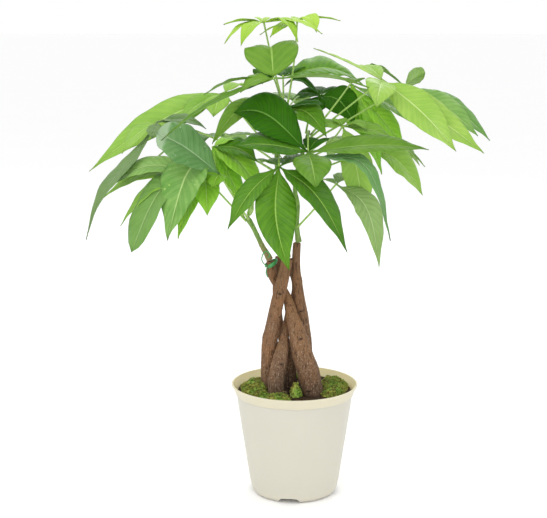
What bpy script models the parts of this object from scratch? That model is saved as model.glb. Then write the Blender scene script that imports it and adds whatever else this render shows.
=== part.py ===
"""Potted money tree: five plaited stems in a plastic nursery pot, with palmate leaves on three shoots.

Units are metres and +Z is up. The origin is the middle of the pot's foot, on the ground.
Tables of places below are in millimetres, and mm() turns them into metres.
"""
import math

import bmesh
import bpy
from mathutils import Vector

MM = 0.001
GAP = 0.3 * MM                      # play between pieces that touch

# Pot: a 150 mm nursery pot.
RIM_RADIUS = 75.0 * MM
POT_HEIGHT = 133.0 * MM
BAND_HEIGHT = 12.0 * MM             # proud collar under the rim
WALL_TOP = 69.2 * MM                # wall radius just under the collar
FOOT_RADIUS = 51.0 * MM
WALL = 1.6 * MM
LIP = 0.9 * MM                      # rounding of the rim's top edge
FOOT_ROUND = 8.0 * MM
FOOT_RISE = 4.5 * MM                # height of the foot ring under the base plate
FOOT_WIDTH = 4.0 * MM
BASE_PLATE = 3.5 * MM
CENTRE_PAD_RADIUS = 11.0 * MM       # middle of the base that reaches the ground
NOTCH_WIDTH = 25.0 * MM
NOTCH_HEIGHT = 6.6 * MM
NOTCH_SQUARE = 0.6                  # below 1 the arch of a notch is flatter on top
NOTCH_TURN = -98.0                  # degrees round the foot, first of four notches
DRAIN_RADIUS = 4.0 * MM
DRAIN_CIRCLE = 31.0 * MM
DRAIN_COUNT = 8
POT_SIDES = 40

# Soil and moss.
SOIL_TOP = 125.0 * MM
MOSS_RINGS = 4
MOSS_SIDES = 18

# Stems and shoots.
STEM_SIDES = 10
STEM_STEP = 15.0 * MM               # spacing of the rings along a stem
SHOOT_SIDES = 8
SHOOT_STEP = 11.0 * MM
SOCKET_DEPTH = 0.6 * MM             # extra depth of a stem's pocket in the soil

# Leaves.
STALK_SIDES = 5
STALK_RINGS = 6
STALK_FOOT_RADIUS = 1.5 * MM
STALK_TIP_RADIUS = 1.15 * MM
BLADE_THICKNESS = 0.8 * MM
BLADE_ROOT = 1.1 * MM               # half width and half thickness of a leaflet where it leaves the hub
BLADE_ROWS = (0.0, 0.07, 0.22, 0.42, 0.62, 0.83, 1.0)
STALK_SHARE = 0.06                  # share of a leaflet that is its own short stalk
FOLD = 0.14                         # rise of a leaflet's edges over its midrib, per half width
LIFT_SKEW = 1.2                     # above 1 the arch of a leaflet leans towards its tip
POINTED = 1.05                      # power of the blade's outline for a pointed tip
BLUNT = 0.6                         # and for a blunt one

COLOURS = {
    "pot": (0.80, 0.75, 0.62),
    "soil": (0.06, 0.045, 0.035),
    "moss": (0.16, 0.22, 0.04),
    "bark": (0.20, 0.12, 0.07),
    "shoot": (0.20, 0.36, 0.08),
    "tie": (0.04, 0.25, 0.07),
    "leaf_dark": (0.05, 0.19, 0.02),
    "leaf_mid": (0.12, 0.32, 0.03),
    "leaf_bright": (0.16, 0.42, 0.03),
    "leaf_pale": (0.36, 0.60, 0.12),
    "leaf_young": (0.42, 0.66, 0.08),
    "leaf_grey": (0.20, 0.34, 0.14),
    "fibre": (0.60, 0.52, 0.30),
}
ROUGHNESS = {"pot": 0.45, "soil": 0.95, "moss": 0.95, "bark": 0.85, "fibre": 0.8}
LEAF_ROUGHNESS = 0.4


def mm(x, y, z):
    """A point given in millimetres."""
    return Vector((x, y, z)) * MM


# ---------------------------------------------------------------- scene and materials

def clear_scene():
    for item in list(bpy.data.objects):
        bpy.data.objects.remove(item, do_unlink=True)


def material(tone):
    found = bpy.data.materials.get(tone)
    if found:
        return found
    made = bpy.data.materials.new(tone)
    made.use_nodes = True
    shader = made.node_tree.nodes["Principled BSDF"]
    shader.inputs["Base Color"].default_value = (*COLOURS[tone], 1.0)
    shader.inputs["Roughness"].default_value = ROUGHNESS.get(tone, LEAF_ROUGHNESS)
    shader.inputs["Metallic"].default_value = 0.0
    return made


def add_object(name, shape, tone, smooth_angle=40.0):
    """Turn a bmesh into a named object with one material."""
    bmesh.ops.recalc_face_normals(shape, faces=shape.faces)
    mesh = bpy.data.meshes.new(name)
    shape.to_mesh(mesh)
    shape.free()
    mesh.materials.append(material(tone))
    mesh.shade_smooth()
    mesh.set_sharp_from_angle(angle=math.radians(smooth_angle))
    item = bpy.data.objects.new(name, mesh)
    bpy.context.collection.objects.link(item)
    return item


def as_guide(item):
    item.hide_render = True
    item.display_type = "WIRE"
    return item


def boolean(item, other, operation, self_crossing=False):
    cut = item.modifiers.new(other.name, "BOOLEAN")
    cut.operation = operation
    cut.object = as_guide(other)
    cut.solver = "EXACT"
    cut.use_self = self_crossing


# ---------------------------------------------------------------- curves and tubes

def smooth_path(points, step):
    """Points about one step apart on a smooth curve through the given (place, radius) pairs."""
    path = []
    last = len(points) - 1
    for index in range(last):
        before = points[max(index - 1, 0)]
        start = points[index]
        end = points[index + 1]
        after = points[min(index + 2, last)]
        count = max(1, round((end[0] - start[0]).length / step))
        for turn in range(count):
            share = turn / count
            path.append((catmull(before[0], start[0], end[0], after[0], share),
                         start[1] + (end[1] - start[1]) * share))
    path.append(points[-1])
    return path


def catmull(before, start, end, after, share):
    """Catmull-Rom curve between start and end."""
    square = share * share
    cube = square * share
    return 0.5 * (2.0 * start + (end - before) * share
                  + (2.0 * before - 5.0 * start + 4.0 * end - after) * square
                  + (3.0 * start - before - 3.0 * end + after) * cube)


def tube(path, sides, shape=None, lumps=None):
    """A closed tube along (place, radius) pairs, with a flat cap at each end.

    lumps, if given, is a function of the distance along and the angle that scales the radius.
    """
    shape = shape or bmesh.new()
    rings = []
    side = Vector((1.0, 0.0, 0.0))
    run = 0.0
    for index, (place, radius) in enumerate(path):
        after = path[min(index + 1, len(path) - 1)][0]
        before = path[max(index - 1, 0)][0]
        along = (after - before).normalized()
        side = (side - along * side.dot(along)).normalized()
        across = along.cross(side)
        run += (place - before).length
        ring = []
        for turn in range(sides):
            angle = 2.0 * math.pi * turn / sides
            reach = radius * (lumps(run, angle) if lumps else 1.0)
            ring.append(shape.verts.new(place + reach * (side * math.cos(angle) + across * math.sin(angle))))
        rings.append(ring)
    for low, high in zip(rings[:-1], rings[1:]):
        for turn in range(sides):
            following = (turn + 1) % sides
            shape.faces.new((low[turn], low[following], high[following], high[turn]))
    shape.faces.new(rings[0][::-1])
    shape.faces.new(rings[-1])
    return shape


def lathe(profile, sides):
    """A solid turned about Z whose outline starts and ends on the axis."""
    shape = bmesh.new()
    start = shape.verts.new((0.0, 0.0, profile[0][1]))
    end = shape.verts.new((0.0, 0.0, profile[-1][1]))
    rings = []
    for radius, height in profile[1:-1]:
        ring = []
        for turn in range(sides):
            angle = 2.0 * math.pi * turn / sides
            ring.append(shape.verts.new((radius * math.cos(angle), radius * math.sin(angle), height)))
        rings.append(ring)
    for turn in range(sides):
        following = (turn + 1) % sides
        shape.faces.new((start, rings[0][following], rings[0][turn]))
        shape.faces.new((end, rings[-1][turn], rings[-1][following]))
        for low, high in zip(rings[:-1], rings[1:]):
            shape.faces.new((low[turn], low[following], high[following], high[turn]))
    return shape


# ---------------------------------------------------------------- pot

def wall_radius(height):
    """Outer radius of the pot's tapered wall."""
    return FOOT_RADIUS + (WALL_TOP - FOOT_RADIUS) * height / (POT_HEIGHT - BAND_HEIGHT)


def corner(centre_radius, centre_height, radius, start, end, count):
    """Points of a rounded corner, angles in degrees."""
    points = []
    for index in range(count + 1):
        angle = math.radians(start + (end - start) * index / count)
        points.append((centre_radius + radius * math.cos(angle), centre_height + radius * math.sin(angle)))
    return points


def pot_profile():
    """Half section of the pot from the middle of its pad, round the outside and back inside."""
    band_low = POT_HEIGHT - BAND_HEIGHT
    inner_rim = RIM_RADIUS - WALL - 0.4 * MM
    inner_foot = FOOT_RADIUS - FOOT_ROUND - FOOT_WIDTH
    floor_top = FOOT_RISE + BASE_PLATE
    profile = [(0.0, 0.0), (CENTRE_PAD_RADIUS, 0.0), (CENTRE_PAD_RADIUS + 1.0 * MM, FOOT_RISE)]
    profile += [(inner_foot, FOOT_RISE), (inner_foot + 1.5 * MM, 0.0)]
    profile += corner(FOOT_RADIUS - FOOT_ROUND + 0.6 * MM, FOOT_ROUND, FOOT_ROUND, -90.0, 0.0, 3)
    profile += [(wall_radius(band_low) - 0.5 * MM, band_low - 0.8 * MM)]
    profile += [(WALL_TOP + 0.8 * MM, band_low + 0.3 * MM)]
    profile += [(WALL_TOP + 2.9 * MM, band_low + 6.0 * MM), (RIM_RADIUS - 0.9 * MM, POT_HEIGHT - 2.6 * MM)]
    profile += corner(RIM_RADIUS - LIP, POT_HEIGHT - LIP, LIP, 0.0, 90.0, 2)
    profile += [(inner_rim, POT_HEIGHT), (inner_rim - 0.4 * MM, POT_HEIGHT - 1.6 * MM)]
    profile += [(WALL_TOP + 1.0 * MM, band_low + 5.0 * MM)]
    profile += [(wall_radius(band_low) - WALL, band_low - 1.0 * MM)]
    profile += [(wall_radius(floor_top) - WALL, floor_top + 3.0 * MM), (FOOT_RADIUS - 5.0 * MM, floor_top)]
    profile += [(0.0, floor_top)]
    return profile


def notch_outline():
    """Upright section of a foot notch: a flattened arch."""
    outline = []
    for index in range(7):
        angle = math.pi * index / 6
        across = math.copysign(abs(math.cos(angle)) ** NOTCH_SQUARE, math.cos(angle))
        rise = abs(math.sin(angle)) ** NOTCH_SQUARE
        outline.append((0.5 * NOTCH_WIDTH * across, (NOTCH_HEIGHT + 1.0 * MM) * rise - 1.0 * MM))
    return outline + [(-0.5 * NOTCH_WIDTH, -2.0 * MM), (0.5 * NOTCH_WIDTH, -2.0 * MM)]


def foot_notches():
    """Four arched cutters through the foot ring."""
    shape = bmesh.new()
    outline = notch_outline()
    for quarter in range(4):
        turn = math.radians(NOTCH_TURN + 90.0 * quarter)
        out = Vector((math.cos(turn), math.sin(turn), 0.0))
        across = Vector((-out.y, out.x, 0.0))
        near = []
        far = []
        for offset, height in outline:
            foot = across * offset + Vector((0.0, 0.0, height))
            near.append(shape.verts.new(foot + out * (FOOT_RADIUS - 15.0 * MM)))
            far.append(shape.verts.new(foot + out * (FOOT_RADIUS + 4.0 * MM)))
        for index in range(len(outline)):
            following = (index + 1) % len(outline)
            shape.faces.new((near[index], near[following], far[following], far[index]))
        shape.faces.new(near[::-1])
        shape.faces.new(far)
    return add_object("notch_guide", shape, "pot")


def drain_holes():
    """Cutters for the ring of drain holes in the base plate."""
    shape = bmesh.new()
    for index in range(DRAIN_COUNT):
        angle = 2.0 * math.pi * (index + 0.5) / DRAIN_COUNT
        foot = Vector((DRAIN_CIRCLE * math.cos(angle), DRAIN_CIRCLE * math.sin(angle), 0.0))
        top = foot + Vector((0.0, 0.0, FOOT_RISE + BASE_PLATE + 4.0 * MM))
        tube([(foot, DRAIN_RADIUS), (top, DRAIN_RADIUS)], 10, shape)
    return add_object("drain_guide", shape, "pot")


def build_pot():
    pot = add_object("pot", lathe(pot_profile(), POT_SIDES), "pot", 30.0)
    boolean(pot, foot_notches(), "DIFFERENCE")
    boolean(pot, drain_holes(), "DIFFERENCE")
    return pot


# ---------------------------------------------------------------- stems

STEMS = {
    # place of the centre line and radius, foot to top
    "stem_left": (
        (-30, -4, 70, 8), (-30, -5, 119, 10.3), (-30, -5, 138, 10.1), (-30, -6, 162, 10),
        (-29, -9, 188, 9.3), (-25, -12, 212, 8), (-20, -14, 237, 7.7), (-17, -15, 249, 7.4),
        (-13, -12, 266, 7), (-9, -7, 284, 6.6)),
    "stem_front": (
        (-22, -24, 72, 8), (-22, -24, 119, 9.8), (-22, -24, 143, 9.6), (-18, -22.5, 165, 9),
        (-15, -19.5, 178, 7.6), (-13, -12.5, 188, 5.9), (-11, -4, 198, 5.3), (-8, 2, 209, 5),
        (-6, 6, 220, 4.7), (-2, 12, 231, 4.6), (1, 17, 240, 4.6), (1, 19, 252, 4.6),
        (-3, 18, 266, 4.6), (-5, 18, 280, 4.4)),
    "stem_right": (
        (23, -18, 66, 11), (22, -18, 119, 13), (20, -18, 132, 13.2), (15, -18, 154, 13.2),
        (9, -17.3, 172, 12.5), (5, -16, 189, 11.4), (2, -14.5, 201, 9.9), (-2, -12.5, 213, 8.2),
        (-5, -10, 224, 6.8),
        (-8, -6.5, 235, 5.7), (-13, -2, 244, 5.7), (-18, 2, 250, 5.8), (-23, 4, 257, 5.8),
        (-27, 4.5, 266, 5.9), (-28, 4, 280, 5.5)),
    "stem_back_right": (
        (15, 15, 74, 8), (15, 14, 120, 9.6), (13, 12, 158, 9), (12, 9, 183, 8.5), (9, 5, 208, 8.1),
        (7, 3, 221, 7.8), (5, 1, 234, 7.3), (3, 1.5, 251, 6.5), (1.5, 2, 267, 5.5), (1.5, 2, 283, 4.9),
        (2.5, 2, 302, 4.6)),
    "stem_back": (
        (-5, 13, 76, 7), (-5, 13, 119, 7.8), (-5, 13, 150, 7.4), (-7, 13, 166, 7), (-12.5, 13, 182, 6.6),
        (-16, 14, 194, 5.9), (-19, 15, 206, 5.4), (-20.5, 17, 222, 5.2), (-21, 18, 246, 5.2),
        (-20, 19.5, 264, 5.2), (-18, 20, 282, 5)),
}


def stem_points(name, grow=0.0):
    return [(mm(x, y, z), radius * MM + grow) for x, y, z, radius in STEMS[name]]


def bark_lumps(run, angle):
    """Slow swelling and flattening of a stem."""
    swell = math.sin(run / MM * 0.16) * math.sin(run / MM * 0.053 + 1.0)
    return 0.97 + 0.022 * swell * math.cos(2.0 * angle + run / MM * 0.03)


def build_stem(name):
    path = smooth_path(stem_points(name), STEM_STEP)
    return add_object(name, tube(path, STEM_SIDES, lumps=bark_lumps), "bark", 60.0)


def stem_pockets():
    """One cutter with a tube for each stem, a little larger than the stem."""
    shape = bmesh.new()
    for name in STEMS:
        points = stem_points(name, GAP * 1.6)
        low, radius = points[0]
        points[0] = (low - Vector((0.0, 0.0, SOCKET_DEPTH)), radius)
        tube(smooth_path(points, STEM_STEP), STEM_SIDES, shape)
    return add_object("pocket_guide", shape, "soil")


# ---------------------------------------------------------------- soil and moss

def build_soil(pockets):
    """The root ball that fills the pot up to a flat top."""
    floor = FOOT_RISE + BASE_PLATE + GAP
    low = floor + 4.0 * MM
    inner = WALL + GAP * 1.4
    profile = [(0.0, floor), (FOOT_RADIUS - 7.0 * MM, floor), (wall_radius(low) - inner - 0.6 * MM, low)]
    profile += [(wall_radius(SOIL_TOP) - inner - 0.4 * MM, SOIL_TOP - 1.0 * MM)]
    profile += [(wall_radius(SOIL_TOP) - inner - 3.0 * MM, SOIL_TOP), (0.0, SOIL_TOP)]
    soil = add_object("soil", lathe(profile, POT_SIDES), "soil", 50.0)
    boolean(soil, pockets, "DIFFERENCE")
    return soil


MOSS = {
    # middle x, y, half sizes x, y, turn in degrees, height
    "moss_left": (-45, -5, 17.5, 37, 5, 13),
    "moss_right": (45, 0, 17.5, 37, -4, 14),
    "moss_front": (-20, -47, 16, 11, 8, 9),
    "moss_middle": (1, -29, 7.5, 8, 0, 18),
    "moss_back": (2, 52, 26, 8.5, 2, 3.4),
}


def build_moss(name, pockets):
    """A low lumpy mat on the soil, cut clear of the stems."""
    x, y, half_x, half_y, turn, height = MOSS[name]
    shape = bmesh.new()
    base = SOIL_TOP + GAP
    lean = math.radians(turn)
    top_rings = []
    foot_rings = []
    for ring in range(1, MOSS_RINGS + 1):
        share = ring / MOSS_RINGS
        top = []
        foot = []
        for step in range(MOSS_SIDES):
            angle = 2.0 * math.pi * step / MOSS_SIDES
            ragged = 1.0 + 0.07 * math.sin(3.0 * angle + x) + 0.05 * math.sin(7.0 * angle + y)
            across = half_x * share * ragged * math.cos(angle)
            deep = half_y * share * ragged * math.sin(angle)
            place = mm(x + across * math.cos(lean) - deep * math.sin(lean),
                       y + across * math.sin(lean) + deep * math.cos(lean), 0.0)
            lump = 0.86 + 0.14 * math.sin(9.0 * share + 4.0 * angle)
            rise = 0.8 * MM + height * MM * lump * (1.0 - share ** 2.5)
            top.append(shape.verts.new((place.x, place.y, base + rise)))
            foot.append(shape.verts.new((place.x, place.y, base)))
        top_rings.append(top)
        foot_rings.append(foot)
    crown = shape.verts.new((x * MM, y * MM, base + height * MM))
    under = shape.verts.new((x * MM, y * MM, base))
    for step in range(MOSS_SIDES):
        following = (step + 1) % MOSS_SIDES
        shape.faces.new((crown, top_rings[0][step], top_rings[0][following]))
        shape.faces.new((under, foot_rings[0][following], foot_rings[0][step]))
        for inner, outer in zip(top_rings[:-1], top_rings[1:]):
            shape.faces.new((inner[step], outer[step], outer[following], inner[following]))
        for inner, outer in zip(foot_rings[:-1], foot_rings[1:]):
            shape.faces.new((inner[step], inner[following], outer[following], outer[step]))
        shape.faces.new((top_rings[-1][step], foot_rings[-1][step], foot_rings[-1][following],
                         top_rings[-1][following]))
    moss = add_object(name, shape, "moss", 60.0)
    boolean(moss, pockets, "DIFFERENCE")
    return moss


# ---------------------------------------------------------------- shoots, tie and bud

SHOOTS = {
    "shoot_centre": (
        (-8.4, -6.8, 286.2, 3.9), (-10, -6, 300, 3.6), (-14, -3, 340, 3.3), (-20, -1, 385, 3.0),
        (-21, 0, 410, 2.8), (-17, 0, 438, 2.5), (-13, 0, 460, 2.3), (-12, 1, 468, 1.4)),
    "shoot_right": (
        (4.4, 2, 303.2, 4.0), (3, 1, 312, 3.3), (2, 0, 325, 3.0), (3, 0, 347, 2.8), (0, 0, 364, 2.7),
        (2, 1, 385, 2.6), (8, 2, 405, 2.5), (14, 3, 426, 2.3), (16, 3, 433, 1.4)),
    "shoot_left": (
        (-29.6, 3.8, 282.0, 4.4), (-33, 2, 289, 3.8), (-38, 0, 298, 3.2), (-43, -1, 309, 2.9),
        (-49, -4, 322, 2.9), (-53, -5, 329, 3.6), (-55, -6, 333, 2.2)),
}


def shoot_points(name):
    return [(mm(x, y, z), radius * MM) for x, y, z, radius in SHOOTS[name]]


def build_shoot(name):
    path = smooth_path(shoot_points(name), SHOOT_STEP)
    return add_object(name, tube(path, SHOOT_SIDES), "shoot", 60.0)


def build_bud():
    """The folded young leaf that stands on the tip of the left shoot."""
    path = [(mm(-54.6, -6.6, 334.6), 1.4 * MM), (mm(-53.0, -7.2, 338), 3.0 * MM),
            (mm(-51, -7.5, 343), 3.4 * MM), (mm(-50, -7.2, 349), 2.6 * MM), (mm(-48.5, -7.0, 355), 0.8 * MM)]
    return add_object("bud_left", tube(path, SHOOT_SIDES), "leaf_pale", 70.0)


TIE_RADIUS = 0.9 * MM
TIE_CENTRE = (-27.8, 4.0, 277.0)
TIE_LOOP = 7.2 * MM                 # radius of the turn round the stem
TIE_PITCH = 3.0 * MM
TIE_TILT = 0.55                     # slope of the turn across X
TIE_POINTS = 22


def build_tie():
    """Twist tie: a tail, one turn round the left stem top and an end that curls up."""
    path = [(mm(-31.6, -9.0, 263.0), TIE_RADIUS), (mm(-33.6, -7.5, 268.0), TIE_RADIUS)]
    centre = mm(*TIE_CENTRE)
    for index in range(TIE_POINTS):
        share = index / (TIE_POINTS - 1)
        angle = math.radians(-118.0 + 350.0 * share)
        out = Vector((math.cos(angle), math.sin(angle), 0.0)) * TIE_LOOP
        rise = TIE_TILT * out.x + TIE_PITCH * (share - 0.5)
        path.append((centre + out + Vector((0.0, 0.0, rise)), TIE_RADIUS))
    path += [(mm(-36.0, -7.0, 278.5), TIE_RADIUS), (mm(-38.6, -9.0, 284.0), TIE_RADIUS),
             (mm(-37.0, -9.6, 291.0), TIE_RADIUS), (mm(-32.6, -9.4, 294.0), TIE_RADIUS),
             (mm(-29.4, -9.0, 290.0), TIE_RADIUS)]
    return add_object("twist_tie", tube(path, 6), "tie", 60.0)


def build_fibre():
    """A dry blade of grass that lies across the front of the moss."""
    path = [(mm(-16.0, -46.0, 135.0), 0.5 * MM), (mm(-12.5, -48.5, 136.2), 0.55 * MM),
            (mm(-9.0, -51.0, 136.4), 0.5 * MM)]
    return add_object("grass_fibre", tube(path, 5), "fibre", 60.0)


# ---------------------------------------------------------------- leaves

def leaflet(reach, arch, width, roll=0, bow=0, widest=0.5, skew=LIFT_SKEW, tip=POINTED):
    """One leaflet: tip seen from the hub, arch and bow of its midrib, blade width, roll, widest place."""
    return {"reach": mm(*reach), "arch": arch * MM, "width": width * MM, "roll": math.radians(roll),
            "bow": bow * MM, "widest": widest, "skew": skew, "tip": tip}


def fan(heading, lengths, drop, width, spread=52, arch=14):
    """Leaflets spread evenly about a compass heading in degrees, their tips dropping below the hub."""
    made = []
    middle = 0.5 * (len(lengths) - 1)
    for index, length in enumerate(lengths):
        angle = math.radians(heading + spread * (index - middle))
        reach = (length * math.cos(angle), length * math.sin(angle), -drop * length)
        made.append(leaflet(reach, arch, width * (0.75 + 0.25 * length / max(lengths))))
    return made


# name: tone, (shoot, height, heading) of the stalk's foot, bend of the stalk's middle, hub, leaflets
LEAVES = {
    "leaf_top_left": ("leaf_young", ("shoot_centre", 463, 110), (0, 8, -4), (-36, -5, 556), [
        leaflet((-45, -8, -3), 3, 18, 6),
        leaflet((-44, -15, -24), 9, 16, -5),
        leaflet((-25, -42, -26), 10, 20),
        leaflet((65, -36, -13), 8, 16, 6),
        leaflet((38, -42, -22), 14, 18, 0, 4),
        leaflet((-3, 50, 2), 2, 18)]),
    "leaf_top_right": ("leaf_young", ("shoot_centre", 463, 10), (2, 8, 0), (2, 10, 558), [
        leaflet((49, -5, -1), 3, 14, -5, 0, 0.4),
        leaflet((21, -28, -14), 10, 20, 15, 3),
        leaflet((-31, -40, -19), 4, 14, -12),
        leaflet((-43, 5, -17), 3, 10),
        leaflet((4, 45, 1), 1, 18)]),
    "leaf_crown_front": ("leaf_mid", ("shoot_centre", 465.5, 185), (-1, 6, 5), (-25, -70, 496), [
        leaflet((-5, 62, 15), 24, 60, -8, 0, 0.36),
        leaflet((-77, 20, -19), 8, 14, 11),
        leaflet((-123, -8, -67), 10, 18, -14, 0, 0.4),
        leaflet((104, -2, -10), 7, 34, -6),
        leaflet((-36, -5, -15), 6, 28, -20)]),
    "leaf_crown_back": ("leaf_dark", ("shoot_centre", 455, 80), (0, 0, 0), (-14, 25, 494), [
        leaflet((96, 35, -13), 15, 52, 22),
        leaflet((30, 35, 10), 2, 24),
        leaflet((-25, 80, -14), 10, 44)]),
    "leaf_right_pale": ("leaf_pale", ("shoot_right", 423, -60), (-6, 0, -4), (97, -30, 492), [
        leaflet((-77, 10, 35), 2, 13, -8, 0, 0.35),
        leaflet((114, -10, -81), 2, 42, 42, 0, 0.42),
        leaflet((79, -35, -76), 6, 44, 42, 0, 0.42),
        leaflet((-11, -54, -27), 6, 36, -20, 0, 0.38),
        leaflet((-22, 55, 13), 5, 26)]),
    "leaf_right_outer": ("leaf_mid", ("shoot_right", 418, 0), (0, -20, 2), (126, 15, 483), [
        leaflet((102, 10, -64), 11, 38, 32, 0, 0.55),
        leaflet((83, -20, -56), 7, 36, 36),
        leaflet((24, 4, 15), 2, 22, -64, 0, 0.56, LIFT_SKEW, BLUNT),
        leaflet((-43, 30, 19), 6, 30, 22)]),
    "leaf_right_olive": ("leaf_mid", ("shoot_right", 428, -15), (0, -24, 2), (64, 22, 485), [
        leaflet((96, -17, -55), 3, 30, 26),
        leaflet((61, -17, -70), 2, 34, 32, 0, 0.6),
        leaflet((37, -12, -104), 2, 34, 10, 0, 0.6),
        leaflet((19, -12, -64), 2, 40, 50),
        leaflet((8, 18, 2), 3, 28)]),
    "leaf_right_low": ("leaf_mid", ("shoot_right", 382, 30), (0, 4, -4), (91, 40, 411), [
        leaflet((61, -5, -58), 12, 46, 30),
        leaflet((33, 30, 14), 10, 34, 10),
        leaflet((-30, 4, -3), 5, 26)]),
    "leaf_right_hanging": ("leaf_pale", ("shoot_right", 404, -50), (4, -2, -4), (53, -22, 440), [
        leaflet((24, 4, -92), 12, 40, 75, -4, 0.6, LIFT_SKEW, BLUNT),
        leaflet((28, -14, -3), 6, 20, 10),
        leaflet((-30, -12, -2), 4, 26, -20),
        leaflet((57, -4, -14), 4, 28, 24),
        leaflet((-6, 6, 6), 3, 22)]),
    "leaf_centre_dark": ("leaf_dark", ("shoot_right", 430, -100), (0, -4, 10), (13, -60, 415), [
        leaflet((-82, 10, 42), 17, 56, -46),
        leaflet((-79, -30, 10), 4, 44, -28, 0, 0.45),
        leaflet((133, -5, 3), 6, 38, 26, 0, 0.45),
        leaflet((89, -40, -93), 44, 23, 20, 16, 0.5, 1.5),
        leaflet((7, -62, -32), 6, 42),
        leaflet((18, 34, 8), 6, 30)]),
    "leaf_centre_front": ("leaf_bright", ("shoot_centre", 424, -95), (0, -4, 8), (-19, -85, 402), [
        leaflet((11, -45, -107), 8, 46, 0, -10, 0.45),
        leaflet((73, -40, -88), 19, 44, 14, 0, 0.45),
        leaflet((-55, -35, -64), 10, 30, -20),
        leaflet((-19, 45, -1), 4, 30),
        leaflet((44, 50, 1), 6, 34)]),
    "leaf_left_bluish": ("leaf_dark", ("shoot_left", 331, -85), (0, -6, 0), (-84, -66, 390.5), [
        leaflet((-69, -5, 46), 5, 54, -48, 0, 0.58, LIFT_SKEW, BLUNT),
        leaflet((-7, -16, -13), 4, 26)]),
    "leaf_left_inner": ("leaf_bright", ("shoot_left", 330, 160), (0, 0, 0), (-94, -20, 416), [
        leaflet((51, -8, -16), 8, 36, 26),
        leaflet((57, -20, -56), 14, 44, 20, 0, 0.45),
        leaflet((33, -24, -62), 6, 34, 0, 0, 0.55),
        leaflet((6, -24, -45), 6, 30),
        leaflet((28, 20, 8), 2, 24)]),
    "leaf_left_front": ("leaf_bright", ("shoot_left", 329.5, 222), (0, -4, 0), (-102, -40, 385), [
        leaflet((-40, -45, -65), 36, 60, -6, 0, 0.46, 0.84),
        leaflet((-30, -20, -68), 10, 30, -10),
        leaflet((4, -35, -39), 8, 30),
        leaflet((-111, 10, -15), 20, 32, -30),
        leaflet((-120, 26, -29), 18, 28, -30),
        leaflet((-82, -20, -83), 36, 42, -30, 0, 0.66, LIFT_SKEW, BLUNT),
        leaflet((-97, 4, -57), 22, 32, -24)]),
    "leaf_left_far": ("leaf_mid", ("shoot_centre", 386, 175), (-10, 8, 12), (-157, -10, 444), [
        leaflet((-78, -48, -128), 19, 23, -12, -3, 0.5, 2.4),
        leaflet((-41, -5, -36), 6, 26, -30),
        leaflet((55, 10, -9), 7, 24, 22),
        leaflet((-4, -30, -16), 0, 18),
        leaflet((20, -10, 0), 2, 12)]),
    "leaf_left_upper": ("leaf_pale", ("shoot_centre", 406, 150), (-4, 4, 4), (-83, 35, 474), [
        leaflet((-157, -20, -90), 11, 44, -46, 0, 0.37),
        leaflet((-50, -22, -31), 5, 28, -30),
        leaflet((-11, -30, -26), 6, 32, 0, 0, 0.6),
        leaflet((25, 30, 4), 6, 30)]),
    "leaf_crown_middle": ("leaf_dark", ("shoot_centre", 446, -60), (0, -2, 0), (-12, -16, 460), [
        leaflet((-81, -40, -37), 24, 26, -34, 0, 0.6),
        leaflet((-46, 4, 2), 6, 26, -15),
        leaflet((46, -35, -30), 12, 38, 25, 0, 0.4),
        leaflet((45, -20, 5), 3, 20, 15)]),
    "leaf_crown_right": ("leaf_dark", ("shoot_right", 429, 130), (-3, 0, 0), (29, 18, 472), [
        leaflet((-42, 8, 10), 12, 26, -10),
        leaflet((-27, -8, -3), 1, 16, -10),
        leaflet((39, -18, -32), 12, 46, 34),
        leaflet((-8, -14, -23), 3, 34),
        leaflet((-32, 22, -6), 6, 28, -20),
        leaflet((13, 45, 1), 6, 26)]),
    "leaf_right_slender": ("leaf_grey", ("shoot_right", 322, -75), (0, -4, 0), (46, -35, 376), [
        leaflet((47, -35, -90), 24, 38, 14, 12),
        leaflet((-15, 20, 2), 2, 16),
        leaflet((21, 50, 0), 6, 26)]),
    "leaf_back_left": ("leaf_mid", ("shoot_centre", 396, 110), (0, 0, 4), (-84, 84, 420), fan(
        130, (84, 98, 104, 92, 76), 0.40, 36, 48)),
    "leaf_back_right": ("leaf_mid", ("shoot_right", 394, 75), (0, 0, 4), (80, 90, 414), fan(
        72, (80, 94, 102, 94, 80), 0.40, 36, 40)),
    "leaf_back_upper": ("leaf_mid", ("shoot_centre", 440, 70), (0, 0, 4), (1, 92, 462), fan(
        84, (64, 86, 96, 84, 68), 0.23, 34, 50)),
}


def midrib(hub, blade, share):
    """Place on a leaflet's midrib, 0 at the hub and 1 at the tip."""
    reach = blade["reach"]
    left = Vector((-reach.y, reach.x, 0.0)).normalized()
    lift = math.sin(math.pi * share ** blade["skew"])
    return hub + reach * share + (Vector((0.0, 0.0, blade["arch"])) + left * blade["bow"]) * lift


def blade_frame(hub, blade, share):
    """Place, side direction and upper-face direction at one row of a leaflet."""
    ahead = midrib(hub, blade, min(share + 0.01, 1.0))
    behind = midrib(hub, blade, max(share - 0.01, 0.0))
    along = (ahead - behind).normalized()
    reach = blade["reach"]
    right = Vector((reach.y, -reach.x, 0.0)).normalized()
    right = (right - along * right.dot(along)).normalized()
    upper = right.cross(along)
    roll = blade["roll"]
    side = right * math.cos(roll) - upper * math.sin(roll)
    return midrib(hub, blade, share), side, side.cross(along)


def half_width(blade, share):
    """Half width of the blade, with a short stalk at the hub and a point at the tip."""
    if share <= STALK_SHARE:
        return BLADE_ROOT
    inner = (share - STALK_SHARE) / (1.0 - STALK_SHARE)
    power = math.log(0.5) / math.log(blade["widest"])
    spread = math.sin(math.pi * inner ** power)
    return max(0.5 * blade["width"] * max(spread, 0.0) ** blade["tip"], BLADE_ROOT * (1.0 - inner))


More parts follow.
